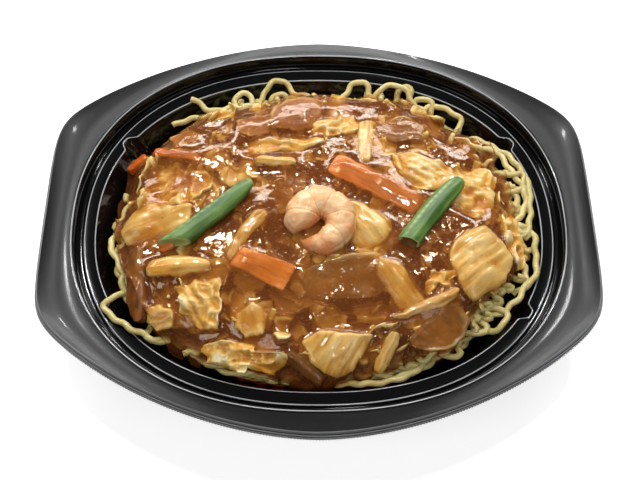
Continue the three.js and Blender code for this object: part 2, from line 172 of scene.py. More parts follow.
# %% Socket class
class Wire:
    """One output socket, with operators that add Math nodes to its tree."""

    def __init__(self, tree, socket):
        self.tree, self.socket = tree, socket

    def math(self, operation, *others):
        return self.tree.add("ShaderNodeMath", {"operation": operation},
                             dict(enumerate((self, *others))))

    def __add__(self, other):
        return self.math("ADD", other)

    def __radd__(self, other):
        return self.math("ADD", other)

    def __mul__(self, other):
        return self.math("MULTIPLY", other)

    def __rmul__(self, other):
        return self.math("MULTIPLY", other)

    def __sub__(self, other):
        return self.math("SUBTRACT", other)

    def __rsub__(self, other):
        return self.tree.add("ShaderNodeMath", {"operation": "SUBTRACT"}, {0: other, 1: self})

    def exp(self):
        return self.math("EXPONENT")

    def band(self, low, high):
        """0 below low, 1 above high, smooth between."""
        return self.tree.add("ShaderNodeMapRange", {"interpolation_type": "SMOOTHSTEP"},
                             {"Value": self, "From Min": low, "From Max": high})


print("socket methods:", [name for name, part in vars(Wire).items() if callable(part)])

# %% [markdown]
# ## One material, one tree
#
# Every finish below starts from the same few nodes: noise, a stored attribute, a bump. This
# class adds them by short names. Colours go through Mix nodes, because a Math node would turn
# them grey. The brown sauce is treated as dyed glass: each millimetre of it takes away a share
# of red, more of green and most of blue, so one formula stains thin and deep places alike.

# %% Material helper
SAUCE_LOSS = (0.09, 0.30, 0.85)
SOAK_DEPTH = 0.8
AMBER = (1.0, 0.7, 0.4, 1.0)


class Shade:
    """A material's node tree."""

    def __init__(self, name):
        self.material = bpy.data.materials.new(name)
        self.material.use_nodes = True
        self.tree = self.material.node_tree
        self.surface = self.tree.nodes["Principled BSDF"]

    def add(self, kind, settings=None, values=None, output=0):
        """Adds a node: its settings first, then the values or links of its sockets."""
        node = self.tree.nodes.new(kind)
        for key, value in (settings or {}).items():
            setattr(node, key, value)
        for key, value in (values or {}).items():
            self.feed(node.inputs[key], value)
        return Wire(self, node.outputs[output])

    def feed(self, socket, value):
        if isinstance(value, Wire):
            self.tree.links.new(value.socket, socket)
        elif isinstance(value, tuple) and len(value) == 3 and socket.type == "RGBA":
            socket.default_value = (*value, 1)
        else:
            socket.default_value = value

    def set(self, **values):
        """Sets the surface's sockets by name, with _ for a space."""
        for key, value in values.items():
            self.feed(self.surface.inputs[key.replace("_", " ")], value)

    def mix(self, share, first, second, blend="MIX"):
        node = self.tree.nodes.new("ShaderNodeMix")
        node.data_type = "RGBA"
        node.blend_type = blend
        self.feed(node.inputs["Factor"], share)
        self.feed(node.inputs[6], first)
        self.feed(node.inputs[7], second)
        return Wire(self, node.outputs[2])

    def attribute(self, name, output="Fac"):
        return self.add("ShaderNodeAttribute", {"attribute_name": name}, None, output)

    def place(self):
        return self.add("ShaderNodeTexCoord", None, None, "Object")

    def stretched(self, vector, scale):
        return self.add("ShaderNodeVectorMath", {"operation": "MULTIPLY"}, {0: vector, 1: scale})

    def noise(self, vector, scale, detail=3.0, roughness=0.5):
        return self.add("ShaderNodeTexNoise", None, {
            "Vector": vector, "Scale": scale, "Detail": detail, "Roughness": roughness})

    def glazed(self, colour, extra=0.0):
        """Tints a colour as the sauce over it and in it does. extra is in millimetres."""
        thick = self.attribute("depth") + self.attribute("soak") * SOAK_DEPTH + extra
        kept = [(thick * -loss).exp() for loss in SAUCE_LOSS]
        tint = self.add("ShaderNodeCombineColor", None,
                        dict(zip(("Red", "Green", "Blue"), kept)))
        return self.mix(1.0, colour, tint, "MULTIPLY")

    def bump(self, height, strength, distance, under=None):
        values = {"Height": height, "Strength": strength, "Distance": distance}
        if under is not None:
            values["Normal"] = under
        return self.add("ShaderNodeBump", None, values)


print("share of red, green and blue left by 3 mm of sauce:",
      [round(math.exp(-3 * loss), 2) for loss in SAUCE_LOSS])

# %% [markdown]
# ## Colours and the floor's finish
#
# Colours are easier to choose as the 0 to 255 values that a paint chart gives, so a helper
# turns them into the linear values that light is worked out with. The floor is the first
# finish: a white that changes a little from place to place, with a faint glow of its own, so
# that it stays white under a light that is meant for the dish.

# %% Colours and the floor's finish
def srgb(red, green, blue):
    """Linear colour from the usual 0 to 255 values."""
    def linear(value):
        value /= 255
        return value / 12.92 if value <= 0.04045 else ((value + 0.055) / 1.055) ** 2.4
    return linear(red), linear(green), linear(blue)


def floor_material():
    shade = Shade("pale_floor")
    cloud = shade.noise(shade.place(), 3.0)
    shade.set(Base_Color=shade.mix(cloud, srgb(244, 244, 243), srgb(250, 250, 250)),
              Roughness=0.9, Emission_Color=(1.0, 1.0, 1.0), Emission_Strength=0.6)
    return shade.material


floor.data.materials.append(floor_material())
print("materials:", len(bpy.data.materials))

# %% [markdown]
# ## From rings to a mesh
#
# Nearly every piece here is a stack of rings: the tray's rings run round its middle, and a
# vegetable's rings run round its length. One helper turns such a stack of points into a closed
# mesh. It also stores values at each point, such as its own place along and across the piece,
# so that grain and veins can follow a piece that is bent and turned.

# %% Mesh helper
def link_mesh(name, points, faces, layers=None):
    """A new object from points in millimetres. layers are point attributes by name."""
    mesh = bpy.data.meshes.new(name)
    mesh.from_pydata((np.asarray(points) * MM).tolist(), [], faces)
    for layer, values in (layers or {}).items():
        values = np.asarray(values, dtype=np.float32)
        if values.ndim == 2:
            mesh.attributes.new(layer, "FLOAT_VECTOR", "POINT").data.foreach_set(
                "vector", values.ravel())
        else:
            mesh.attributes.new(layer, "FLOAT", "POINT").data.foreach_set("value", values)
    mesh.polygons.foreach_set("use_smooth", [True] * len(mesh.polygons))
    mesh.update()
    piece = bpy.data.objects.new(name, mesh)
    bpy.context.scene.collection.objects.link(piece)
    return piece


def ring_faces(rings, sides):
    """Faces of a closed stack of rings, with a fan at each end round one added point."""
    r, s = np.meshgrid(np.arange(rings - 1), np.arange(sides), indexing="ij")
    a, b = r * sides + s, r * sides + (s + 1) % sides
    walls = np.stack([a, b, b + sides, a + sides], -1).reshape(-1, 4).tolist()
    first, last = rings * sides, rings * sides + 1
    top = (rings - 1) * sides
    for i in range(sides):
        j = (i + 1) % sides
        walls.append((first, j, i))
        walls.append((last, top + i, top + j))
    return walls


def stack_points(rings):
    """Points of a stack of rings (rings, sides, 3) and the middles of its two ends."""
    flat = rings.reshape(-1, 3)
    return np.vstack([flat, rings[0].mean(0), rings[-1].mean(0)])


def points_of(piece):
    """A piece's points in millimetres."""
    points = np.empty(len(piece.data.vertices) * 3)
    piece.data.vertices.foreach_get("co", points)
    return points.reshape(-1, 3) / MM


def extra_piece(piece):
    """A piece that stands for no solid of its own and only rides on the one body."""
    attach(piece, "root")
    return piece


def finish_piece(piece, node):
    """A fine piece that is shown instead of the solid it was made from."""
    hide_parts(node)
    return extra_piece(piece)


print("a stack of 3 rings of 8 has", len(ring_faces(3, 8)), "faces")

# %% [markdown]
# ## Unevenness
#
# Food is never smooth or regular. The wobble of every outline and surface comes from one smooth
# noise: random values on a grid of points, blended between them. It is worked out here, not in
# a texture, because the points themselves have to move, and a seed keeps it the same each time.

# %% Smooth noise for modelling
def soft_noise(points, cell, seed):
    """Smooth noise from about -1 to 1 at points in millimetres. cell is the size of a lump."""
    table = np.random.default_rng(seed).uniform(-1, 1, (32, 32, 32))
    grid = np.asarray(points, dtype=float) / cell
    base = np.floor(grid).astype(int)
    part = grid - base
    part = part ** 3 * (part * (part * 6 - 15) + 10)
    total = np.zeros(grid.shape[:-1])
    for corner in itertools.product((0, 1), repeat=3):
        index = (base + corner) % 32
        weight = np.prod(np.where(corner, part, 1 - part), axis=-1)
        total += weight * table[index[..., 0], index[..., 1], index[..., 2]]
    return total


print("noise at three places:", soft_noise([[0, 0, 0], [1, 2, 3], [9, 4, 2]], 4, 1).round(2))

# %% [markdown]
# ## The tray
#
# The tray is thermoformed: one thin black sheet drawn over a mould. Seen from above it is a set
# of ovals, from the floor up to the rim, and then the wings, whose crest is an oval cut off by
# two straight ends. Each is a radius at every angle, so all of them can share one set of
# directions. Four lugs at the diagonals keep stacked trays apart.

# %% Ovals of the tray
RIM = (113.3, 94.8)
LEDGE_OUTER = (108.4, 90.0)
LEDGE_INNER = (103.4, 84.0)
HEEL = (91.0, 72.5)
FLOOR_OVAL = (86.0, 67.0)
OVAL_POWER = 2.25
STEP_DROP = 6.0
SHEET = 1.1
SKIRT_DROP = 5.2
CREST_HALF = 125
TRAY_STEPS = 600
LUG_HEADINGS = (26.5, 153.5, 206.5, 333.5)
LUG_REACH = 3.6


def oval_radius(oval, power, angle):
    """Radius of an oval at an angle. It is round at power 2 and squarer at a higher one."""
    along, across = np.abs(np.cos(angle)) / oval[0], np.abs(np.sin(angle)) / oval[1]
    return (along ** power + across ** power) ** (-1 / power)


TURN = np.arange(TRAY_STEPS) * 2 * np.pi / TRAY_STEPS
ANGLE = np.arctan2(RIM[1] * np.sin(TURN), RIM[0] * np.cos(TURN))


def crest_radius(angle):
    """The long sides follow a pointed oval, and the ends are straight. The join is soft."""
    side = oval_radius((150, 103.8), 1.77, angle)
    end = CREST_HALF / np.maximum(np.abs(np.cos(angle)), 1e-6)
    return (side ** -30 + end ** -30) ** (-1 / 30)


CREST = crest_radius(ANGLE)
CREST_HEIGHT = RIM_HEIGHT - 1.5 + 5.8 * (CREST * np.cos(ANGLE) / CREST_HALF) ** 2
RIM_RADIUS = oval_radius(RIM, OVAL_POWER, ANGLE)


def lug(depth):
    """How far the four lugs push the wall out at each angle, at a depth below the ledge."""
    reach = np.zeros_like(ANGLE)
    for where in LUG_HEADINGS:
        gap = (np.degrees(ANGLE) - where + 180) % 360 - 180
        reach += np.exp(-(np.radians(gap) * RIM_RADIUS / 3.9) ** 4)
    return LUG_REACH * reach * max(0.0, 1 - depth / 14)


print("crest from middle to side and to end:", CREST.min().round(1), CREST.max().round(1))

# %% [markdown]
# ## The tray's section
#
# Every edge of the sheet is a small round, and those rounds draw its thin bright lines, helped
# by a painted highlight in the finish. So the tray is one section that is swept round the dish:
# a list of corners from the underside, round the skirt and back over the wings into the dish,
# each with the size of its round. A Bevel modifier could round them too, but it would need a
# clean cage and would move the steps.

# %% The tray's section, corner by corner
def oval_corner(oval, outwards, height, fillet=0.5, bulge=0.0, line=0.0):
    """A corner on one of the ovals, moved outwards, at a height of its own."""
    radius = oval_radius(oval, OVAL_POWER, ANGLE) + outwards + bulge
    return radius, np.full_like(ANGLE, height), fillet, line


def wing_corner(share, lowered=0.0, fillet=2.0, line=0.0):
    """A corner on the wing: share 0 is the rim's inner edge and 1 is the crest."""
    width = CREST - RIM_RADIUS
    climb = (CREST_HEIGHT - RIM_HEIGHT) * share ** 2
    scoop = 1.1 * math.sin(math.pi * share) * width / 20
    return RIM_RADIUS + share * width, RIM_HEIGHT + climb - scoop - lowered, fillet, line


def skirt_corner(outwards, drop, fillet=0.35, line=0.0):
    """A corner outside the crest and below it."""
    return CREST + outwards, CREST_HEIGHT - drop, fillet, line


def tray_section():
    ledge = RIM_HEIGHT - STEP_DROP
    under = [
        oval_corner(FLOOR_OVAL, 0, 0, 2.0),
        oval_corner(HEEL, SHEET, 4.0, 4.0),
        oval_corner(LEDGE_INNER, SHEET, ledge - SHEET, 0.5, lug(0)),
        oval_corner(LEDGE_OUTER, 0.4, ledge - SHEET - 0.2, 0.5),
        oval_corner(LEDGE_OUTER, 1.0, ledge - 2.3, 0.5),
        oval_corner(LEDGE_OUTER, 3.4, ledge - 2.1, 0.5),
        oval_corner(RIM, 0.3, RIM_HEIGHT - 1.6, 0.5),
        wing_corner(0.3, SHEET),
        wing_corner(0.7, SHEET),
        skirt_corner(-1.0, 1.3),
        skirt_corner(0.3, SKIRT_DROP, 0.1),
    ]
    skirt = [
        skirt_corner(1.4, SKIRT_DROP, 0.2, 0.3),
        skirt_corner(1.35, 3.7, 0.3, 0.7),
        skirt_corner(0.95, 3.35, 0.3),
        skirt_corner(0.9, 2.1, 0.3, 0.7),
        skirt_corner(0.4, 1.75, 0.3),
    ]
    top = [wing_corner(1, 0, 0.6, 0.55)]
    top += [wing_corner(share, 0, 1.2) for share in (0.9, 0.78, 0.64, 0.5, 0.34, 0.16)]
    inside = [
        oval_corner(RIM, 0, RIM_HEIGHT, 0.45, line=0.9),
        oval_corner(RIM, -0.9, RIM_HEIGHT - 0.9, 0.5),
        oval_corner(LEDGE_OUTER, 2.7, ledge - 0.9, 0.6),
        oval_corner(LEDGE_OUTER, 1.1, ledge - 1.0, 0.5),
        oval_corner(LEDGE_OUTER, 0, ledge + 0.1, 0.4, line=1.0),
        oval_corner(LEDGE_INNER, 0, ledge - 0.3, 0.45, lug(0), line=1.0),
        oval_corner(LEDGE_INNER, -2.2, ledge - 5.0, 2.0, lug(4.5)),
        oval_corner(LEDGE_INNER, -4.6, ledge - 10.0, 2.0, lug(9.5)),
        oval_corner(HEEL, 0, 4.8, 5.0),
        oval_corner(FLOOR_OVAL, -0.6, SHEET, 2.0),
    ]
    return under + skirt + top + inside


print("corners of the section:", len(tray_section()))

# %% [markdown]
# ## Rounding its corners
#
# Each corner of the section becomes five rings on a short curve. The curve is as long as the
# corner's own size allows, but never reaches half way to its neighbours. The rings also carry
# two values for the finish: how satin the place is, and how strongly it gets the painted
# highlight of a thin bright edge.

# %% Rounded rings
CORNER_STEPS = 5


def rounded_rings(corners):
    """Rings along the section, each corner a short round, and the painted edge highlight of each.
    """
    path = np.array([corner[:2] for corner in corners])
    middles = path[[0, -1]] * [[0], [1]]
    path = np.concatenate([middles[:1], path, middles[1:]])
    rings, lines = [], []
    for k in range(1, len(path) - 1):
        before, corner, after = path[k - 1], path[k], path[k + 1]
        fillet = corners[k - 1][2]
        back = np.minimum(fillet / np.linalg.norm(before - corner, axis=0), 0.46)
        on = np.minimum(fillet / np.linalg.norm(after - corner, axis=0), 0.46)
        start = corner + (before - corner) * back
        end = corner + (after - corner) * on
        for share in np.linspace(0, 1, CORNER_STEPS):
            rings.append((1 - share) ** 2 * start + 2 * share * (1 - share) * corner
                         + share ** 2 * end)
            lines.append(corners[k - 1][3] * (0 < share < 1))
    rings = np.array(rings)
    radius, height = rings[:, 0], rings[:, 1]
    points = np.stack([radius * np.cos(ANGLE), radius * np.sin(ANGLE), height], -1)
    satin = np.clip((radius - RIM_RADIUS) / 1.5, 0, 1)
    return points, satin, np.array(lines)[:, None] + 0 * satin


print("rings of the section:", len(rounded_rings(tray_section())[0]))

# %% [markdown]
# ## The tray's finish
#
# The sheet is glossy black inside the dish, where the mould was polished, and satin on the
# wings, where it was grained. Its sharp edges carry a painted highlight: a light grey colour
# on their small rounds that stands for the thin glint of a lamp. Both follow values that were
# stored on the rings, so the change lies exactly on the rim, and noise breaks them up.

# %% Tray finish
def tray_material():
    shade = Shade("black_formed_sheet")
    place = shade.place()
    grain = shade.noise(place, 1300, 2)
    haze = shade.noise(place, 28, 4)
    handled = shade.noise(shade.stretched(place, (1, 3, 1)), 60, 5)
    satin = shade.attribute("satin")
    # Painted highlight: a light grey colour on the small rounds of the edges stands for a lamp's
    # thin glint on them.
    painted_edge_highlight = shade.attribute("line") * (0.45 + 0.7 * shade.noise(place, 45, 3))
    colour = shade.mix(haze, srgb(7, 7, 8), srgb(13, 13, 14))
    colour = shade.mix(painted_edge_highlight.band(0.0, 1.1), colour, srgb(190, 192, 195))
    shade.set(Base_Color=colour, Roughness=0.06 + 0.04 * haze + satin * (0.26 + 0.1 * handled),
              IOR=1.43, Coat_Weight=0.1, Coat_Roughness=0.1)
    rough = shade.bump(grain, satin * 0.2 + 0.04, 0.0002)
    shade.set(Normal=shade.bump(handled, 0.05, 0.0006, rough))
    return shade.material


def make_tray():
    rings, satin, line = rounded_rings(tray_section())
    # The line values say how much each ring gets the painted edge highlight.
    tray = link_mesh("formed_tray", stack_points(rings), ring_faces(*rings.shape[:2]), {
        "satin": np.append(satin.ravel(), [0, 0]), "line": np.append(line.ravel(), [0, 0])})
    tray.data.materials.append(tray_material())
    return finish_piece(tray, "tray")


tray = make_tray()
print("tray faces:", len(tray.data.polygons))

# %% [markdown]
# ## How the food is heaped
#
# Everything lies on one low mound. A single height formula gives its surface, so the sauce,
# the noodles and every vegetable can ask how high the heap is under them and which way it
# slopes. A vegetable is modelled flat, turned to its heading, tipped with the slope and then
# moved until its box meets the box of its solid.

# %% The mound and how a piece is laid on it
HEAP = (97.0, 80.0)
MOUND_POWER = 2.2
HEAP_FOOT = 26
HEAP_RISE = 19


def heap_height(x, y):
    """Height of the mound at any place. Past its oval it is flat."""
    left = 1 - np.abs(x / HEAP[0]) ** MOUND_POWER - np.abs(y / HEAP[1]) ** MOUND_POWER
    return HEAP_FOOT + HEAP_RISE * np.maximum(left, 0) ** 0.55


def heap_basis(x, y, heading):
    """Rows: along, across and up directions of a piece that lies on the mound at x, y."""
    reach = 4.0
    slope_x = (heap_height(x + reach, y) - heap_height(x - reach, y)) / (2 * reach)
    slope_y = (heap_height(x, y + reach) - heap_height(x, y - reach)) / (2 * reach)
    up = np.array([-slope_x, -slope_y, 1.0])
    up /= np.linalg.norm(up)
    turn = math.radians(heading)
    across = np.cross(up, [math.cos(turn), math.sin(turn), 0])
    across /= np.linalg.norm(across)
    return np.array([np.cross(across, up), across, up])


def lay(points, node, heading, tilt=0.0, roll=0.0, centred=True):
    """Turns points to the heading and the slope, then moves them to the solid's box.

    Their tops meet. With centred off, the piece's own origin stays over the box's middle."""
    x, y = spot(node)
    pitch = Matrix.Rotation(math.radians(tilt), 3, "Y")
    tip = np.array(pitch @ Matrix.Rotation(math.radians(roll), 3, "X"))
    placed = points @ tip.T @ heap_basis(x, y, heading)
    low, high = placed.min(0), placed.max(0)
    box_low, box_high = (np.array(corner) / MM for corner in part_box(node))
    shift = (box_low + box_high) / 2 - (low + high) / 2 * centred
    shift[2] = box_high[2] - high[2]
    return placed + shift


print("mound at its middle and 90 mm to the right:", heap_height(np.array([0, 90]), 0).round(1))

# %% [markdown]
# ## Bars
#
# Carrot sticks, stem ends and sprouts are long pieces that a knife cut and heat bent. One slab
# function makes their body: rings from end to end, with a rounded outline, a rounded section,
# a taper, a slanted cut and a bend. Sculpting each would take longer and could not be repeated.

# %% The slab
def squarish(angle, power):
    """Cosine and sine of a ring that is round at power 2 and squarer at a higher one."""
    cos, sin = np.cos(angle), np.sin(angle)
    return (np.sign(cos) * np.abs(cos) ** (2 / power),
            np.sign(sin) * np.abs(sin) ** (2 / power))


def slab(length, width, thick, plan=4.0, section=3.0, taper=0.0, bow=0.0, skew=0.0, side=0.0,
         stations=56, sides=40):
    """Rings of a bent slab, and how far each point lies along it, to its edge and upwards."""
    turn = np.linspace(0, np.pi, stations + 2)[1:-1, None]
    along = -np.cos(turn) * 0.995
    round_end = np.maximum(1 - np.abs(along) ** plan, 0) ** (1 / plan)
    thin_end = np.maximum(0.5, (1 - np.abs(along) ** 8) ** (1 / 8))
    angle = np.arange(sides)[None] * 2 * np.pi / sides
    flat, tall = squarish(angle, section)
    half = width / 2 * round_end * (1 + taper * along)
    y = flat * half
    edge = y / (width / 2)
    x = length / 2 * along - skew * y * (1 - along) / 2
    z = tall * thick / 2 * thin_end + bow * (1 - along ** 2)
    y = y + side * (1 - along ** 2)
    x = x + 0 * y
    return np.stack([x, y, z], -1), along + 0 * edge, edge, tall + 0 * along


print("rings of a bar:", slab(30, 10, 5)[0].shape)

# %% [markdown]
# ## Relief of the bars
#
# A carrot is knife-flat with faint lines, a stem has a few long ridges, and a bundle of sprouts
# is a row of thin round shoots. Each is a height that is added to the rings, because these
# pieces catch the light at their edges, where a bump map alone would look flat.

# %% Relief of the bars
def carrot_relief(rings, along, edge, face, seed):
    """Knife-flat faces with faint lengthwise lines."""
    lines = np.cos(edge * 22 + 3 * np.sin(along * 2)) * 0.05
    return (lines + soft_noise(rings, 5, seed) * 0.3) * np.abs(face)


def stick_relief(rings, along, edge, face, seed):
    """A soft stem with a few long ridges."""
    ridge = np.cos(edge * 7 + along) * 0.16
    return (ridge + soft_noise(rings * [0.4, 1, 1], 3, seed) * 0.4) * np.abs(face)


def fibre_relief(rings, along, edge, face, seed):
    """A bundle of thin shoots that lie side by side and cross a little."""
    wave = edge * 13 + 2.2 * np.sin(along * 3 + edge)
    return np.abs(np.cos(wave)) * 1.1 * np.abs(face) + soft_noise(rings, 4, seed) * 0.5


def ragged(rings, amount, seed):
    """Moves points sideways, so that no outline is a perfect curve."""
    push = np.stack([soft_noise(rings, 6, seed), soft_noise(rings, 6, seed + 1),
                     0 * rings[..., 0]], -1)
    fine = np.stack([soft_noise(rings, 2.2, seed + 2), soft_noise(rings, 2.2, seed + 3),
                     0 * rings[..., 0]], -1)
    return rings + amount * (push + 0.35 * fine)


print("kinds of bar relief:", [f.__name__ for f in (carrot_relief, stick_relief, fibre_relief)])

# %% [markdown]
# ## Plates
#
# Leaves, broad stalk pieces and slices are flat pieces with an outline of their own. So each
# starts from a few corners. The outline between them is straight with soft corners and a torn
# edge, and rings run from the middle of the top over the edge to the middle of the bottom. A
# subdivided cage would do as well, but here the relief can be given as a formula on the rings.

# %% The plate
def step(value, low, high):
    """0 below low, 1 above high, smooth between."""
    share = np.clip((value - low) / (high - low), 0, 1)
    return share * share * (3 - 2 * share)


def outline_radius(corners, angle, seed, torn):
    """Distance from the middle to a cornered outline, with soft corners and a torn edge."""
    x, y = np.array(corners, dtype=float).T
    way = np.arange(720) * np.pi / 360
    radius = np.full(720, 1e9)
    for ax, ay, bx, by in zip(x, y, np.roll(x, -1), np.roll(y, -1)):
        cross = np.cos(way) * (by - ay) - np.sin(way) * (bx - ax)
        safe = np.where(np.abs(cross) < 1e-9, 1e-9, cross)
        far = (ax * (by - ay) - ay * (bx - ax)) / safe
        part = (ax * np.sin(way) - ay * np.cos(way)) / safe
        radius = np.where((far > 0) & (part >= 0) & (part <= 1), np.minimum(radius, far), radius)
    reach = 5
    window = np.concatenate([radius[-reach:], radius, radius[:reach]])
    radius = np.convolve(window, np.ones(2 * reach + 1) / (2 * reach + 1), "valid")
    radius = np.interp(angle, np.append(way, 2 * np.pi), np.append(radius, radius[0]))
    ring = np.stack([radius * np.cos(angle), radius * np.sin(angle), 0 * angle], -1)
    return radius + torn * (soft_noise(ring, 4, seed) + 0.4 * soft_noise(ring, 1.8, seed + 1))


def plate(corners, thick, seed, torn, power=4.0):
    """A flat piece of any outline: rings from its top middle over the edge to its bottom."""
    sides, top_rings = 110, 22
    angle = np.arange(sides)[None] * 2 * np.pi / sides
    radius = outline_radius(corners, angle[0], seed, torn)[None]
    top = 1 - (1 - np.linspace(0.06, 1, top_rings)) ** 1.5
    share = np.concatenate([top, top[-2::-3]])[:, None]
    above = np.concatenate([np.ones(top_rings), -np.ones(len(share) - top_rings)])[:, None]
    z = above * thick / 2 * np.maximum(1 - share ** power, 0) ** (1 / power)
    flat = share * radius
    rings = np.stack([flat * np.cos(angle), flat * np.sin(angle), z + 0 * angle], -1)
    return rings, share + 0 * angle, above + 0 * angle


print("rings of a square plate:", plate([(-9, -9), (9, -9), (9, 9), (-9, 9)], 4, 1, 0.5)[0].shape)

# %% [markdown]
# ## Relief of the plates
#
# A stalk piece is arched and softly ribbed along its grain. A leaf is crumpled: folds at two
# sizes, pleats and an edge that curls. A slice is a smooth dish whose rim stands up on one
# side. The sharp folds come from the size of a noise without its sign, which gives creases.

# %% Relief of the plates
def rim_side(turned):
    """1 on the side that the grain points to, 0 on the far side."""
    length = np.hypot(turned[..., 0], turned[..., 1]) + 1e-6
    return step(turned[..., 0] / length, -0.2, 0.8)


def stalk_form(rings, share, above, turned, seed):
    """Broad low ribs along the grain, on a piece that arches across it."""
    across = turned[..., 1]
    bend = across + 1.5 * soft_noise(turned, 9, seed + 2)
    rib = 0.2 * np.cos(bend * 1.25) + 0.28 * soft_noise(turned * [0.12, 1, 0], 2.6, seed)
    waves = 1.2 * soft_noise(rings, 11, seed + 1) + 0.3 * soft_noise(rings, 4, seed + 3)
    return rib * (above > 0) * (1 - share ** 6) + waves - across ** 2 * 0.012


def leaf_form(rings, share, above, turned, seed):
    """Crinkles and pleats, with an edge that curls up and down."""
    flat = rings * [1, 1, 0]
    bent = flat + 3 * np.stack([soft_noise(flat, 10, seed + k) for k in range(3)], -1)
    fold = 0.45 - np.abs(soft_noise(bent, 6.0, seed + 5))
    fine = 0.4 - np.abs(soft_noise(bent, 2.6, seed + 6))
    across = turned[..., 1] + 2.5 * soft_noise(flat, 8, seed + 8)
    pleat = np.cos(across * 1.5) * 0.4 * np.clip(0.4 + soft_noise(flat, 9, seed + 9), 0, 1)
    curl = share ** 3 * soft_noise(flat, 8, seed + 7) * 2.4
    return 2.5 * fold + 0.8 * fine + pleat + curl


def slice_form(rings, share, above, turned, seed, swell=1.1):
    """A smooth dish whose rim stands up along the side that its grain points to."""
    dish = step(share, 0.72, 0.93) * (1.2 * rim_side(turned) - 0.4) - 1.3 * (1 - share ** 2)
    return dish + soft_noise(rings, 8, seed) * swell + soft_noise(rings, 2.5, seed + 1) * 0.12


def tan_form(*shape):
    """A calmer slice."""
    return 0.6 * slice_form(*shape, swell=0.5)


FORM = {"stalk": stalk_form, "leaf": leaf_form, "slice": slice_form, "tan": tan_form}
print("kinds of plate:", list(FORM))

# %% [markdown]
# ## Finishes of the vegetables
#
# Boiled vegetables are pale and translucent, and the sauce stains them brown in patches. So
# every finish is a clean colour with its own grain, a pale edge or ridge where one is stored,
# then the stain of the sauce, which is deeper in blotches, and a clear wet coat on top. All six
# kinds share one function, so that they sit together as food from one pan.

# %% Vegetable finishes
def food_material(name, clean, streak, dark, grain_scale, streaks, bump=0.25, extra=0.2,
                  rim=0.6, coat=0.6):
    """clean and streak are its two colours, and dark is the tone of its deeper bands."""
    shade = Shade(name)
    grain = shade.attribute("grain", "Vector")
    lines = shade.noise(shade.stretched(grain, grain_scale), 1.0, 4, 0.55)
    mottled = shade.noise(shade.place(), 260, 5, 0.6)
    cloud = shade.noise(shade.place(), 85, 3, 0.5)
    pores = shade.noise(shade.place(), 1500, 3, 0.6)
    colour = shade.mix(lines.band(0.5 - streaks, 0.5 + streaks), clean, streak)
    colour = shade.mix((1 - lines).band(0.5, 0.72) * 0.75, colour, dark)
    colour = shade.mix(cloud.band(0.5, 0.8) * 0.6, colour, dark)
    colour = shade.mix(shade.attribute("pale") * rim, colour, srgb(240, 224, 184))
    patch = shade.noise(shade.place(), 62, 3, 0.55).band(0.46, 0.66)
    colour = shade.glazed(colour, extra + patch * 1.0 + (mottled - 0.5) * 1.1 + (pores - 0.5) * 0.9)
    shade.surface.inputs["Specular Tint"].default_value = AMBER
    shade.set(Base_Color=colour, Roughness=0.26 + 0.14 * mottled, Coat_Weight=coat,
              Coat_Roughness=0.05, Subsurface_Weight=0.12, Subsurface_Scale=0.003)
    shade.surface.inputs["Subsurface Radius"].default_value = (1.0, 0.6, 0.3)
    fine = shade.bump(pores, 0.14, 0.0003)
    wet = shade.bump(mottled, 0.25, 0.0005, fine)
    shade.set(Normal=shade.bump(lines, bump, 0.0006, wet))
    return shade.material


FINISH = {
    "stalk": food_material("boiled_stalk", srgb(222, 188, 116), srgb(240, 220, 164),
                           srgb(178, 132, 60), (50, 330, 200), 0.2, bump=0.2, rim=0.3),
    "leaf": food_material("boiled_leaf", srgb(230, 194, 106), srgb(244, 224, 160),
                          srgb(178, 128, 54), (200, 380, 300), 0.22, bump=0.5, rim=0.7, extra=-0.2),
    "slice": food_material("brown_slice", srgb(88, 46, 19), srgb(130, 80, 37),
                           srgb(66, 32, 12), (120, 300, 300), 0.25, rim=0.9, extra=0.3,
                           coat=0.5),
    "tan": food_material("tan_slice", srgb(152, 88, 30), srgb(180, 120, 52),
                         srgb(118, 64, 20), (120, 300, 300), 0.25, rim=0.7, extra=0.1,
                         coat=0.25),
    "carrot": food_material("boiled_carrot", srgb(220, 118, 56), srgb(238, 158, 96),
                            srgb(186, 76, 28), (60, 500, 300), 0.2, extra=0.25,
                            coat=0.3),
    "sprout": food_material("bean_sprout", srgb(206, 170, 116), srgb(232, 208, 162),
                            srgb(178, 134, 82), (60, 300, 300), 0.25, bump=0.1, extra=0.3),
}
print("food finishes:", sorted(FINISH))

# %% [markdown]
# ## Carrots, stems and shoots
#
# Each bar has its kind, its heading in degrees and its own measures in millimetres. A few lie
# lower than their solids, so that the sauce can lap over them, and a few are soaked with it.

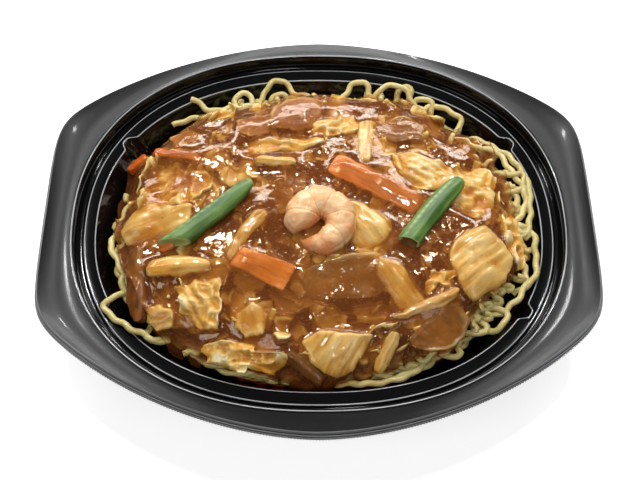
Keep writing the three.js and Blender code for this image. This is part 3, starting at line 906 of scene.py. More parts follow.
# %% Bars: carrots, stems and shoots
BARS = {
    "carrot_slab": ("carrot", -28, dict(length=46, width=12.5, thick=4.4, plan=9, section=6,
                                        bow=1)),
    "carrot_cut": ("carrot", -25, dict(length=27, width=12, thick=6.5, plan=12, section=7,
                                       taper=0.15, skew=-0.15)),
    "carrot_sliver": ("carrot", -20, dict(length=24, width=5.5, thick=4, plan=5, section=3)),
    "carrot_tip": ("carrot", 25, dict(length=11, width=6, thick=4.5, plan=5, section=3, taper=0.3)),
    "stalk_stick_left": ("stalk", 3, dict(length=29, width=9.5, thick=7, plan=3, section=2.2,
                                          taper=-0.12, side=1)),
    "stalk_white_back": ("stalk", -3, dict(length=19, width=5.6, thick=5, plan=3, section=2.2)),
    "stalk_upright_back": ("stalk", 88, dict(length=28, width=7.5, thick=5, plan=4, section=2.2,
                                             taper=0.15)),
    "stalk_short_front": ("stalk", 70, dict(length=19, width=7, thick=5, plan=3, section=2.2)),
    "strip_front": ("slice", -45, dict(length=20, width=7, thick=4, plan=4, section=2.2, side=1)),
    "stick_edge_left": ("slice", -88, dict(length=36, width=9, thick=5.5, plan=3, section=2.2,
                                           side=-2)),
    "sprout_long": ("sprout", 24, dict(length=33, width=5.2, thick=4.6, plan=2.4, section=2.1,
                                       taper=0.3, side=-1.5)),
    "sprout_bundle": ("sprout", 57, dict(length=29, width=8, thick=5, plan=3, section=2.4,
                                         side=2, taper=0.2)),
}
BAR_RELIEF = {"carrot": carrot_relief, "sprout_bundle": fibre_relief}


def soak_values(points, seed):
    """How much sauce stain each point has: low parts and random blotches take more."""
    above = points[:, 2] - heap_height(points[:, 0], points[:, 1])
    blotch = soft_noise(points, 7, seed) * 0.5 + soft_noise(points, 2.5, seed + 1) * 0.25
    return np.clip(0.35 - above * 0.12 + blotch, 0, 1.2)


PIECE_SLOT = dict.fromkeys(["lump_front", "strip_middle", "slice_round_back", "slice_tan_back",
                            "slice_tan_left"], "slice")
# Millimetres of sauce that a piece has soaked up, and by how much it lies below its solid.
SOAKED = {"carrot_tip": 3.0, "carrot_sliver": 2.0, "carrot_slab": 1.0, "carrot_cut": 0.5,
          "stalk_stick_left": 0.9, "stalk_short_front": 0.4, "sprout_bundle": 0.4,
          "stick_edge_left": 0.6}
LOWERED = {"slice_round_back": 1.6, "slice_tan_back": 0.9, "slice_tan_left": 0.6,
           "carrot_tip": 1.4, "carrot_sliver": 1.0, "carrot_slab": 1.0, "carrot_cut": 0.8}


def cut_piece(node, kind, points, rings, layers, seed, extra_soak):
    """Stores the stain, makes the mesh and gives it the finish of its kind."""
    points = points - [0, 0, LOWERED.get(node, 0.0)]
    layers["soak"] = soak_values(points, seed) + extra_soak
    piece = link_mesh(node + "_fine", points, ring_faces(*rings.shape[:2]), layers)
    piece.data.materials.append(FINISH[kind])
    return finish_piece(piece, node)


def make_bar(node, seed):
    kind, heading, shape = BARS[node]
    rings, along, edge, face = slab(**shape)
    grain = stack_points(rings) * MM
    rings = ragged(rings, 0.35 if kind == "carrot" else 0.7, seed)
    relief = BAR_RELIEF.get(node, BAR_RELIEF.get(kind, stick_relief))
    rings[..., 2] += relief(rings, along, edge, face, seed + 10)
    tilt, roll = np.random.default_rng(seed).uniform(-7, 7, 2)
    points = lay(stack_points(rings), node, heading, tilt, roll)
    return cut_piece(node, kind, points, rings, {"grain": grain}, seed + 20,
                     SOAKED.get(node, 0.0))


bars = [make_bar(node, 100 + 40 * i) for i, node in enumerate(BARS)]
print("bars:", len(bars))

# %% [markdown]
# ## A crumb of carrot
#
# One bit broke off a carrot and lies at the left. It is too small to be a solid, so it is laid
# straight on the mound by the same formula as the rest.

# %% A crumb of carrot
def make_carrot_bit(x, y, heading, seed):
    rings = slab(7.0, 4.2, 3.0, stations=20, sides=18)[0]
    grain = stack_points(rings) * MM
    rings = ragged(rings, 0.6, seed)
    points = stack_points(rings) @ heap_basis(x, y, heading) + [x, y, heap_height(x, y) + 2.2]
    bit = link_mesh("carrot_bit", points, ring_faces(*rings.shape[:2]), {
        "grain": grain, "soak": soak_values(points, seed + 1)})
    bit.data.materials.append(FINISH["carrot"])
    return extra_piece(bit)


carrot_bit = make_carrot_bit(-68, -19, 25, 91)
print("crumb faces:", len(carrot_bit.data.polygons))

# %% [markdown]
# ## Leaves, stalk pieces and slices
#
# Each plate has its kind, the heading of its grain in degrees, its thickness and the corners of
# its outline in millimetres from the middle of its solid. The torn edge, the ribs and the
# crinkles come from the kind, and the pale ridges of a leaf are stored with its points.

# %% Plates: leaves, stalk pieces and slices
PLATES = {
    "stalk_ribbed_right": ("stalk", 39, 5.0, [(-12, 4), (-4, 14), (5, 17), (13, 10), (18, 1),
                                              (13, -10), (-2, -20), (-7, -17), (-12, -2)]),
    "stalk_smooth_left": ("stalk", 15, 4.6, [(-7, 12), (2, 8), (16, 7), (16, -3), (11, -13),
                                             (3, -15), (-15, -10), (-19, -2), (-14, 6)]),
    "stalk_beside_shrimp": ("stalk", -50, 5.0, [(-14, 13), (-4, 13), (8, 4), (9, -2), (4, -9),
                                                (-4, -11), (-12, -8), (-14, 3)]),
    "stalk_diamond_front": ("stalk", 60, 4.6, [(-17, 2), (-9, 7), (1, 6), (14, 5), (11, -2),
                                               (5, -10), (-2, -14), (-8, -12), (-14, -6)]),
    "lump_left": ("stalk", 20, 5.0, [(-7, 4), (-1, 6), (6, 2), (5, -4), (-2, -6), (-7, -2)]),
    "leaf_crinkled_left": ("leaf", 25, 3.0, [(-17, 13), (-3, 10), (13, 5), (16, -3), (13, -10),
                                             (6, -13), (-8, -12), (-16, -3)]),
    "leaf_wrinkled_right": ("leaf", -30, 3.2, [(-31, 10), (-24, 14), (-13, 11), (1, 8), (18, 9),
                                               (20, -1), (15, -16), (8, -20), (-3, -16),
                                               (-10, -8), (-19, -7), (-28, 1)]),
    "leaf_frilled_front": ("leaf", 80, 4.0, [(-19, 2), (-8, 6), (0, 6), (6, 1), (13, 1), (15, 6),
                                             (20, 5), (21, -2), (16, -8), (6, -8), (-4, -6),
                                             (-14, -4)]),
    "leaf_crumpled_left": ("leaf", -50, 3.6, [(-14, 7), (-5, 11), (6, 9), (9, -2), (6, -11),
                                              (-2, -11), (-8, -5), (-12, 2)]),
    "leaf_edge_right": ("leaf", 60, 3.6, [(-4, 12), (3, 16), (7, 6), (9, -3), (5, -11), (1, -15),
                                          (-3, -8), (-6, 0)]),
    "leaf_yellow_back": ("leaf", 20, 3.4, [(-12, 0), (-3, 6), (7, 5), (13, 0), (8, -5), (-3, -7),
                                           (-10, -5)]),
    "leaf_long_back": ("leaf", 5, 3.4, [(-23, 0), (-12, 5), (2, 3), (17, 5), (20, 1), (8, -3),
                                        (-8, -4), (-20, -5)]),
    "leaf_small_right": ("leaf", 30, 3.2, [(-7, -4), (-3, 4), (9, 5), (8, -1), (1, -3), (-5, -7)]),
    "slice_middle": ("slice", 70, 4.0, [(-18, 4), (-9, 9), (4, 12), (15, 13), (22, 5), (19, -4),
                                       (13, -9), (2, -10), (-9, -11), (-16, -9), (-19, -3)]),
    "strip_middle": ("stalk", -52, 4.5, [(-9, 10), (0, 9), (7, -2), (12, -12), (6, -15),
                                         (0, -14), (-4, -8), (-10, 2)]),
    "slice_rimmed_front": ("slice", -45, 4.4, [(-12, -2), (-4, 6), (4, 12), (13, 13), (17, 7),
                                              (13, -1), (7, -6), (-3, -8), (-10, -6)]),
    "slice_round_back": ("tan", 115, 4.4, [(-12, -3), (-10, 5), (-4, 10), (4, 12), (11, 11),
                                          (14, 5), (13, -3), (9, -9), (2, -11), (-6, -10),
                                          (-11, -8)]),
    "slice_tan_back": ("tan", 200, 4.0, [(-9, 5), (-1, 9), (8, 5), (8, -5), (-1, -8), (-8, -4)]),
    "slice_brown_back": ("slice", 80, 4.0, [(-13, 4), (1, 9), (11, 3), (9, -7), (-4, -9),
                                           (-13, -5)]),
    "slice_tan_left": ("tan", 100, 4.0, [(-8, 3), (1, 6), (8, 2), (6, -4), (-4, -6)]),
    "lump_front": ("stalk", -80, 5.0, [(-6, 3), (1, 8), (8, 3), (6, -6), (-2, -8), (-7, -3)]),
}
TORN = {"stalk": 0.6, "leaf": 1.8, "slice": 0.6, "tan": 0.6}
RIDGE = {"stalk": 0.2, "leaf": 0.5, "slice": 0.0, "tan": 0.0}
VALLEY = {"stalk": 0.9, "leaf": 2.2, "slice": 0.0, "tan": 0.0}


def make_plate(node, seed):
    kind, grain_turn, thick, corners = PLATES[node]
    edge_power = 3.0 if kind in ("slice", "tan") else 4.0
    rings, share, above = plate(corners, thick, seed, TORN[kind], edge_power)
    turn = math.radians(grain_turn)
    turned = rings @ np.array([[math.cos(turn), -math.sin(turn), 0],
                               [math.sin(turn), math.cos(turn), 0], [0, 0, 1]])
    relief = FORM[kind](rings, share, above, turned, seed + 10)
    ridge = np.clip(0.4 + RIDGE[kind] * (relief - relief.mean()) / relief.std(), 0, 1)
    rings[..., 2] += relief
    tilt, roll = np.random.default_rng(seed).uniform(-6, 6, 2)
    points = lay(stack_points(rings), node, 0, tilt, roll, centred=False)
    pale = step(share, 0.74, 0.92) * rim_side(turned)
    pale = pale * (0.75 + 0.5 * soft_noise(rings, 6, seed + 30))
    pale = np.clip(np.maximum(pale, (ridge - 0.45) * 1.3 * (RIDGE[kind] > 0)), 0, 1)
    pale, valley = (np.append(values.ravel(), [0, 0]) for values in (pale, 1 - ridge))
    return cut_piece(node, kind, points, rings, {"grain": stack_points(turned) * MM,
                     "pale": pale}, seed + 20, valley * VALLEY[kind])


plates = [make_plate(node, 700 + 40 * i) for i, node in enumerate(PLATES)]
wetted = bars + plates
print("plates:", len(plates))

# %% [markdown]
# ## Green beans
#
# A bean pod is a flattened tube with a blunt round tip. The knife cuts its other end on the
# slant, which leaves a pale ring round a hollow. The same rings as a bar's would do, but the
# hollow needs a few more, sunk into the cut end. The pod lies on top of the sauce, so it stays
# clean and bright.

# %% Bean pods
def bean_material():
    shade = Shade("green_bean")
    grain = shade.attribute("grain", "Vector")
    lines = shade.noise(shade.stretched(grain, (40, 420, 420)), 1.0, 4, 0.6)
    dots = shade.noise(shade.place(), 1500, 2)
    cloud = shade.noise(shade.place(), 130, 3)
    colour = shade.mix(lines.band(0.36, 0.64), srgb(58, 96, 32), srgb(102, 134, 56))
    colour = shade.mix(cloud.band(0.45, 0.8) * 0.4, colour, srgb(122, 154, 76))
    colour = shade.mix(shade.attribute("pale"), colour, srgb(186, 200, 128))
    shade.set(Base_Color=colour, Roughness=0.4 + 0.14 * cloud, Coat_Weight=0.08,
              Coat_Roughness=0.25, Subsurface_Weight=0.08, Subsurface_Scale=0.002)
    fine = shade.bump(dots, 0.12, 0.0002)
    shade.set(Normal=shade.bump(lines, 0.3, 0.0004, fine))
    return shade.material


def make_bean(node, heading, length, width, thick, skew, side, taper, seed, hollow):
    stations, sides = 120, 48
    along = np.linspace(-1, 1, stations)[:, None]
    tip = np.clip((along - 0.35) / 0.65, 0, 1)
    tip_round = (1 - 0.42 * tip ** 1.6) * np.maximum(1 - tip ** 9, 0.004) ** (1 / 3)
    cut = np.clip((-0.93 - along) / 0.07, 0, 1)
    size = tip_round * (1 - 0.06 * cut) * (1 + taper * along)
    angle = np.arange(sides)[None] * 2 * np.pi / sides
    flat, tall = squarish(angle, 2.3)
    bulge = 1 + 0.02 * np.sin(along * 9 + seed)
    y = flat * width / 2 * size * (1 + 0.03 * np.sin(along * 7 + 2))
    z = tall * thick / 2 * size * bulge
    x = length / 2 * along - skew * y * (1 - along) / 2 + 0 * y
    seam = np.exp(-((angle - np.radians(62)) / 0.09) ** 2)
    z = z - 0.22 * seam * size + 0.12 * np.cos(angle * 7) * size
    rings = np.stack([x, y + side * (1 - along ** 2), z], -1)
    rings = rings + 0.1 * soft_noise(rings * [0.4, 1, 1], 3, seed)[..., None]
    pale = 0.75 * seam * np.exp(-((along + 0.1) / 0.9) ** 6) * (0.6 + 0.4 * np.sin(along * 40))
    pale = np.clip(pale + 0.5 * np.clip((along - 0.9) / 0.1, 0, 1), 0, 1)
    middle = rings[0].mean(0)
    # Rings of the hollow in the cut end: their scale and how deep they lie.
    inset = [(0.86, 0.1), (0.7, hollow * 0.6), (0.45, hollow), (0.2, hollow * 0.9)]
    inner = [middle + (rings[0] - middle) * scale + [depth, 0, 0] for scale, depth in inset]
    rings = np.concatenate([np.array(inner[::-1]), rings])
    pale = np.concatenate([np.tile([[0.5], [0.5], [0.7], [1.0]], (1, sides)), pale])
    pale = np.maximum(pale, np.exp(-((np.arange(len(pale)) - 3) / 1.5) ** 2)[:, None])
    points = lay(stack_points(rings), node, heading)
    piece = link_mesh(node + "_fine", points, ring_faces(*rings.shape[:2]), {
        "grain": stack_points(rings) * MM,
        "pale": np.append(pale.ravel(), [0.6, 0.6])})
    piece.data.materials.append(FINISH["bean"])
    return finish_piece(piece, node)


FINISH["bean"] = bean_material()
beans = [
    make_bean("bean_pod_left", heading=41, length=46, width=9.4, thick=7.0, skew=1.1, side=-1,
              taper=-0.12, seed=3, hollow=1.0),
    make_bean("bean_pod_right", heading=53, length=44, width=9.8, thick=7.2, skew=0.3, side=1,
              taper=0.0, seed=8, hollow=4.0),
]
print("beans:", [len(bean.data.polygons) for bean in beans])

# %% [markdown]
# ## The shrimp
#
# A peeled shrimp curls up when it is cooked. Its body is a chain of overlapping segments that
# narrow from the blunt cut end to the tail. Each segment swells and ends in a shallow groove,
# and the outer side carries pink-orange bands, while the sides stay cream. So it is one tube
# bent into a ring that opens at its end, and all its relief follows the place along the tube.

# %% Shrimp
def shrimp_material():
    shade = Shade("cooked_shrimp")
    place = shade.place()
    mottled = shade.noise(place, 420, 5, 0.62)
    cloud = shade.noise(place, 150, 3)
    speck = shade.noise(place, 1400, 2)
    colour = shade.mix(cloud.band(0.35, 0.65), srgb(240, 196, 144), srgb(232, 174, 116))
    band = (shade.attribute("band") + (mottled - 0.5) * 0.9).band(0.25, 0.95)
    colour = shade.mix(band * 0.85, colour, srgb(224, 132, 70))
    colour = shade.mix(speck.band(0.6, 0.75) * 0.35, colour, srgb(250, 226, 198))
    shade.set(Base_Color=colour, Roughness=0.42 + 0.15 * mottled, Coat_Weight=0.45,
              Coat_Roughness=0.15, Subsurface_Weight=0.25, Subsurface_Scale=0.003)
    shade.surface.inputs["Subsurface Radius"].default_value = (1.0, 0.45, 0.3)
    fine = shade.bump(speck, 0.2, 0.0003)
    shade.set(Normal=shade.bump(mottled, 0.3, 0.0006, fine))
    return shade.material


def make_shrimp():
    seed, stations, sides, segments = 5, 190, 72, 6.3
    head_heading, tail_heading = 208, -136
    head_size, tail_size = 7.8, 5.8
    share = np.linspace(0, 1, stations)[:, None]
    turn = np.radians(head_heading + (tail_heading - head_heading) * share)
    radius = 8.5 + 3.6 * share ** 5
    size = (head_size + (tail_size - head_size) * share ** 2) * np.minimum(1, 0.72 + 4 * share)
    size = size * np.minimum(1, 0.35 + 4 * (1 - share))
    phase = (share * segments + 0.35) % 1
    swell = 1 + 0.05 * np.sin(np.pi * phase) - 0.09 * np.exp(-(phase / 0.07) ** 2)
    angle = np.arange(sides)[None] * 2 * np.pi / sides
    out, tall = np.cos(angle), np.sin(angle)
    outer = np.clip(out, 0, 1)
    grow = size * (1 + (swell - 1) * (0.45 + 0.55 * outer))
    belly = np.exp(-((angle - np.pi) / 0.5) ** 2)
    grow = grow * (1 - 0.12 * belly * (0.5 + 0.5 * np.cos(share * segments * 2 * np.pi)))
    back_line = np.exp(-((np.arctan2(tall, out) - 0.35) / 0.1) ** 2)
    grow = grow - 0.35 * back_line * (share < 0.85)
    reach = radius + out * grow
    z = tall * grow * 0.93 - 3.4 * share ** 3 - 2.4 * share ** 24
    rings = np.stack([reach * np.cos(turn), reach * np.sin(turn), z + 0 * turn], -1)
    lump = soft_noise(rings, 3.0, seed) * 0.35 + soft_noise(rings, 1.3, seed + 1) * 0.12
    rings = rings + lump[..., None] * np.stack([out * np.cos(turn), out * np.sin(turn),
                                                tall + 0 * turn], -1)
    band = np.exp(-((phase - 0.55) / 0.3) ** 2) * (0.25 + 0.75 * outer ** 0.7)
    band = band * (0.35 + 0.65 * share) + 0.8 * np.clip((share - 0.8) / 0.2, 0, 1)
    band = band + 0.6 * np.exp(-((angle - np.pi) / 0.8) ** 2)
    points = lay(stack_points(rings), "shrimp", 0)
    shrimp = link_mesh("shrimp_fine", points, ring_faces(*rings.shape[:2]), {
        "band": np.append(band.ravel(), [0.3, 1.0])})
    shrimp.data.materials.append(FINISH["shrimp"])
    return finish_piece(shrimp, "shrimp")


FINISH["shrimp"] = shrimp_material()
shrimp = make_shrimp()
print("shrimp faces:", len(shrimp.data.polygons))

# %% [markdown]
# ## Growing things with Geometry Nodes
#
# Noodles, shreds and bubbles repeat many times, so a node tree grows them. Its sizes are named
# inputs. A tree ends by realising its copies and setting their material, and the result is
# kept as a plain mesh, because a finished piece should not depend on a modifier.

# %% Tree helper
class Grower:
    """A Geometry Nodes tree with named size inputs."""

    def __init__(self, name, sizes):
        self.group = bpy.data.node_groups.new(name, "GeometryNodeTree")
        face = self.group.interface
        face.new_socket("Geometry", in_out="INPUT", socket_type="NodeSocketGeometry")
        face.new_socket("Geometry", in_out="OUTPUT", socket_type="NodeSocketGeometry")
        self.sizes = {key: face.new_socket(key, in_out="INPUT", socket_type="NodeSocketFloat")
                      for key in sizes}
        self.values = sizes
        self.start = self.group.nodes.new("NodeGroupInput")
        self.end = self.group.nodes.new("NodeGroupOutput")

    def size(self, key):
        return self.start.outputs[key]

    def add(self, kind, settings=None, values=None, output=0):
        node = self.group.nodes.new(kind)
        for key, value in (settings or {}).items():
            setattr(node, key, value)
        for key, value in (values or {}).items():
            if isinstance(value, bpy.types.NodeSocket):
                self.group.links.new(value, node.inputs[key])
            else:
                node.inputs[key].default_value = value
        return node.outputs[output]

    def math(self, operation, first, second):
        return self.add("ShaderNodeMath", {"operation": operation}, {0: first, 1: second})

    def vector(self, operation, first, second):
        return self.add("ShaderNodeVectorMath", {"operation": operation}, {0: first, 1: second})

    def scaled(self, vector, factor):
        return self.add("ShaderNodeVectorMath", {"operation": "SCALE"},
                        {0: vector, "Scale": factor})

    def scatter(self, seed):
        """Random points on the host's faces. The size Density counts them per square metre."""
        return self.add("GeometryNodeDistributePointsOnFaces", None, {
            "Mesh": self.start.outputs["Geometry"], "Density": self.size("Density"),
            "Seed": seed})

    def random_scale(self, seed):
        """A scale for each point, between the sizes Smallest and Largest."""
        return self.add("FunctionNodeRandomValue", {"data_type": "FLOAT"}, {
            2: self.size("Smallest"), 3: self.size("Largest"), "Seed": seed}, output=1)

    def finish(self, geometry, material):
        real = self.add("GeometryNodeRealizeInstances", None, {"Geometry": geometry})
        done = self.add("GeometryNodeSetMaterial", None, {"Geometry": real, "Material": material})
        self.group.links.new(done, self.end.inputs[0])

    def grow(self, host, name):
        """Runs the tree on a host object and keeps the result as a plain mesh object."""
        modifier = host.modifiers.new(name, "NODES")
        modifier.node_group = self.group
        for key, socket in self.sizes.items():
            modifier[socket.identifier] = self.values[key]
        graph = bpy.context.evaluated_depsgraph_get()
        mesh = bpy.data.meshes.new_from_object(host.evaluated_get(graph))
        bpy.data.objects.remove(host)
        mesh.name = name
        piece = bpy.data.objects.new(name, mesh)
        bpy.context.scene.collection.objects.link(piece)
        return piece


print("steps of a tree:", [name for name in vars(Grower) if name[0] != "_"])

# %% [markdown]
# ## Teeth under the tray's rim
#
# The forming press leaves a row of tiny teeth along the lower edge of the rim, for the lid to
# grip. One small block is copied to every point of the edge and turned to face outwards. The
# block has six faces, as there are hundreds of them.

# %% Rim teeth
def teeth_tree(material):
    tree = Grower("rim_teeth", {"Tooth Depth": 0.7 * MM, "Tooth Width": 0.55 * MM,
                                "Tooth Height": 0.9 * MM})
    size = tree.add("ShaderNodeCombineXYZ", None, {
        0: tree.size("Tooth Depth"), 1: tree.size("Tooth Width"), 2: tree.size("Tooth Height")})
    tooth = tree.add("GeometryNodeMeshCube", None, {"Size": size})
    place = tree.add("GeometryNodeInputPosition")
    outwards = tree.vector("MULTIPLY", place, (1.0, 1.0, 0.0))
    facing = tree.add("FunctionNodeAlignRotationToVector", {"axis": "X"}, {"Vector": outwards})
    row = tree.add("GeometryNodeInstanceOnPoints", None, {
        "Points": tree.start.outputs["Geometry"], "Instance": tooth, "Rotation": facing})
    tree.finish(row, material)
    return tree


TEETH_OUT = 1.35
TEETH_UP = 0.6
edge_radius = CREST + TEETH_OUT
edge_points = np.stack([edge_radius * np.cos(ANGLE), edge_radius * np.sin(ANGLE),
                        CREST_HEIGHT - SKIRT_DROP + TEETH_UP], -1)
teeth = teeth_tree(tray.data.materials[0]).grow(link_mesh("edge_points", edge_points, []),
                                                "rim_teeth")
extra_piece(teeth)
print("rim teeth faces:", len(teeth.data.polygons))

# %% [markdown]
# ## Where the noodles lie
#
# The solid stands for the whole noodle bed. Here a smaller mound keeps the dark inside, and
# real strands lie over it. Most of them wander round the side of the bed, at random between its
# foot and its shoulder. A physics drop would give a truer tangle, but it would hide which
# strands come out past the sauce, and those are what is seen.

# %% Strands that wander round the bed
BED = (94.0, 77.0)
SIDE_STRANDS = 64


def ledge_share(x, y):
    """Where a place lies between the tray's middle, 0, and the inner edge of its ledge, 1."""
    along, across = np.abs(x / LEDGE_INNER[0]), np.abs(y / LEDGE_INNER[1])
    return (along ** OVAL_POWER + across ** OVAL_POWER) ** (1 / OVAL_POWER)


def noodle_rest(x, y, z):
    """Lifts a strand over the tray's ledge where it would otherwise cut the wall."""
    over = np.clip((ledge_share(x, y) - 0.94) / 0.05, 0, 1)
    return z + over * np.maximum(RIM_HEIGHT - STEP_DROP + 1.6 - z, 0)


def side_strand(rng):
    """A strand that wanders round the bed's side. Level 0 is its foot, 1 its shoulder."""
    sweep = rng.uniform(0.35, 1.5) * rng.choice([-1, 1])
    steps = int(abs(sweep) * 26) + 6
    angle = rng.uniform(0, 2 * np.pi) + np.linspace(0, sweep, steps)
    wander = np.cumsum(rng.normal(0, 0.14, steps))
    level = np.clip(rng.uniform(0.2, 1.5) + wander - wander.mean(), 0.05, 1.9)
    level = level * (1 - 0.45 * np.exp(-((angle % (2 * np.pi) - 3.0) / 0.45) ** 2))
    share = np.where(level < 1, 0.93 + 0.055 * level, 0.985 - 0.12 * (level - 1))
    z = np.where(level < 1, 8 + 15 * level, 23 + 6.5 * (level - 1)) + rng.uniform(0, 1.6)
    radius = oval_radius(BED, MOUND_POWER, angle) * (share + rng.uniform(-0.01, 0.015))
    return np.stack([radius * np.cos(angle), radius * np.sin(angle), z], -1)


print("a wandering strand:", side_strand(np.random.default_rng(1)).shape)

# %% [markdown]
# ## Loops past the sauce
#
# The loops that stick out past the sauce are listed one by one, a few places for each, in
# millimetres: first round the back from left to right, then down the right side, along the
# front and up the left side. A smooth curve runs through the places of each loop.

# %% Loops
LOOPS = [
    [(-63, 71, 29), (-60, 70, 29), (-56, 67, 29), (-50, 66, 29), (-43, 68, 29), (-36, 66, 27)],
    [(-71, 57, 28), (-67, 59, 29), (-61, 62, 29), (-54, 62, 28), (-46, 65, 28), (-40, 64, 27)],
    [(-40, 64, 26), (-42, 71, 29), (-38, 76, 30), (-33, 72, 29), (-35, 65, 26)],
    [(-44, 64, 26), (-38, 69, 28), (-30, 70, 28), (-22, 70, 28), (-12, 72, 27)],
    [(-32, 62, 27), (-29, 71, 29), (-24, 81, 31), (-17, 82, 31), (-12, 75, 30), (-4, 74, 29),
     (3, 68, 26)],
    [(-26, 62, 26), (-24, 72, 29), (-18, 76, 30), (-13, 70, 28)],
    [(6, 66, 26), (12, 74, 29), (18, 81, 31), (24, 81, 31), (26, 74, 29), (27, 64, 26)],
    [(24, 66, 26), (31, 77, 30), (39, 79, 31), (46, 72, 29), (52, 62, 26)],
    [(36, 66, 26), (42, 78, 31), (46, 77, 30), (45, 68, 27)],
    [(44, 60, 26), (50, 72, 29), (57, 69, 30), (55, 60, 27)],
    [(48, 62, 26), (55, 68, 29), (66, 64, 30), (71, 58, 29), (66, 50, 26)],
    [(66, 48, 27), (79, 47, 30), (93, 34, 32), (99, 21, 32), (99, 4, 32), (95, -8, 31),
     (86, -14, 27)],
    [(70, 40, 28), (84, 40, 31), (91, 30, 32), (97, 14, 32), (93, 2, 31), (84, -4, 28)],
    [(80, 28, 29), (90, 25, 32), (97, 25, 32), (94, 16, 32), (86, 16, 29)],
    [(78, 22, 29), (89, 20, 31), (93, 10, 31), (87, 4, 28)],
    [(88, 2, 28), (98, -6, 31), (99, -16, 31), (97, -29, 30), (88, -36, 27)],
    [(84, -20, 28), (93, -22, 30), (92, -34, 29), (84, -44, 28), (74, -48, 26)],
    [(66, -44, 27), (76, -44, 29), (83, -46, 29), (80, -54, 28), (70, -54, 26)],
    [(60, -52, 26), (70, -56, 27), (74, -52, 28), (68, -46, 26)],
    [(48, -58, 25), (56, -66, 26), (62, -64, 27), (58, -56, 25)],
    [(-6, -70, 24), (6, -78, 25), (22, -79, 25), (38, -75, 25), (46, -68, 25), (40, -64, 24)],
    [(18, -68, 24), (30, -76, 25), (44, -72, 25), (52, -64, 24)],
    [(-80, -32, 26), (-89, -38, 30), (-95, -43, 31), (-90, -50, 31), (-80, -56, 30),
     (-71, -59, 28), (-62, -54, 25)],
    [(-84, -24, 27), (-89, -29, 29), (-88, -36, 29), (-82, -42, 27)],
    [(-88, -4, 26), (-95, -9, 29), (-94, -16, 30), (-89, -26, 29), (-84, -34, 27), (-76, -40, 25)],
    [(-70, -44, 26), (-76, -54, 28), (-74, -60, 28), (-66, -58, 26)],
    [(-60, -58, 24), (-54, -66, 26), (-46, -70, 25), (-36, -74, 25), (-24, -72, 24)],
    [(-64, -54, 25), (-58, -61, 26), (-50, -65, 26), (-40, -70, 25), (-30, -71, 24)],
]


def smooth_path(points):
    """A Catmull-Rom curve through the points, sampled about every 2 millimetres."""
    points = np.array(points, dtype=float)
    points = np.vstack([2 * points[0] - points[1], points, 2 * points[-1] - points[-2]])
    out = []
    for a, b, c, d in zip(points, points[1:], points[2:], points[3:]):
        count = max(2, int(np.linalg.norm(c - b) / 2))
        t = np.linspace(0, 1, count, endpoint=False)[:, None]
        out.append(0.5 * (2 * b + (c - a) * t + (2 * a - 5 * b + 4 * c - d) * t ** 2
                          + (3 * b - a - 3 * c + d) * t ** 3))
    return np.vstack([*out, points[-2:-1]])


print("hand-laid loops:", len(LOOPS))

# %% [markdown]
# ## Coils between the loops
#
# Between the loops some strands coil like springs that lie on their side. Each needs only its
# two ends as seen from above, the size of its turns and how many there are. The rest is a
# circle that moves along a line, with a little chance in it.

# %% Coils
CURLS = [
    (-38, 68, -16, 71, 3.2, 2.5), (20, 74, 32, 72, 3.6, 2),
    (38, 70, 56, 62, 4.4, 2), (84, 30, 95, 6, 4.6, 2.5), (90, 20, 93, -14, 4.0, 3),
    (93, -2, 88, -30, 4.4, 2.5), (86, -26, 72, -48, 4.6, 3), (80, -34, 64, -52, 4.2, 2.5),
    (70, -50, 52, -62, 3.8, 2), (44, -66, 60, -60, 3.4, 2), (-92, -2, -88, -30, 3.6, 1.5),
    (-88, 16, -93, -6, 3.4, 1.5), (-58, -62, -40, -71, 3.0, 1.5), (66, 52, 84, 38, 4.0, 2),
]


def curl_strand(rng, x0, y0, x1, y1, size, turns):
    """A strand that coils as it runs from one place to another."""
    share = np.linspace(0, 1, int(turns * 14))[:, None]
    turn = 2 * np.pi * turns * share + rng.uniform(0, 2 * np.pi)
    swing = size * (0.75 + 0.35 * np.sin(3 * turn + rng.uniform(0, 6)))
    middle = np.array([x0, y0]) + share * np.array([x1 - x0, y1 - y0])
    plan = middle + swing * np.hstack([np.cos(turn), np.sin(turn)])
    return np.hstack([plan, 28.5 + 1.6 * np.sin(turn + 1.0) + rng.uniform(-1, 1.5)])


print("coils:", len(CURLS))

# %% [markdown]
# ## All paths in one mesh
#
# Geometry Nodes can turn bare edges into curves, so all the paths go into one mesh of edges.
# Each also gets a random number of its own, which later shifts its crimp and its colour.

# %% Paths
def strand_paths():
    rng = np.random.default_rng(21)
    paths = [smooth_path(side_strand(rng)) for _ in range(SIDE_STRANDS)]
    paths += [smooth_path(loop) for loop in LOOPS]
    paths += [smooth_path(curl_strand(rng, *curl)) for curl in CURLS]
    for path in paths:
        path[:, 2] = noodle_rest(*path.T)
    return paths


def paths_object(name, paths):
    """One mesh of bare edges, a path after a path, with each path's own random number."""
    points = np.vstack(paths)
    edges, start = [], 0
    for path in paths:
        edges += [(start + i, start + i + 1) for i in range(len(path) - 1)]
        start += len(path)
    mesh = bpy.data.meshes.new(name)
    mesh.from_pydata((points * MM).tolist(), edges, [])
    chance = np.random.default_rng(4).uniform(0, 1, len(paths))
    own = np.concatenate([np.full(len(path), c) for path, c in zip(paths, chance)])
    mesh.attributes.new("own", "FLOAT", "POINT").data.foreach_set("value", own.astype(np.float32))
    host = bpy.data.objects.new(name, mesh)
    bpy.context.scene.collection.objects.link(host)
    return host


print("paths:", len(strand_paths()))

# %% [markdown]
# ## The noodles' finish and their core
#
# Steamed wheat noodles are a dull pale yellow. Each strand keeps a random number of its own,
# so neighbours differ a little. The core under them is browner and rough, and it only has to
# fill the gaps that the eye looks into.

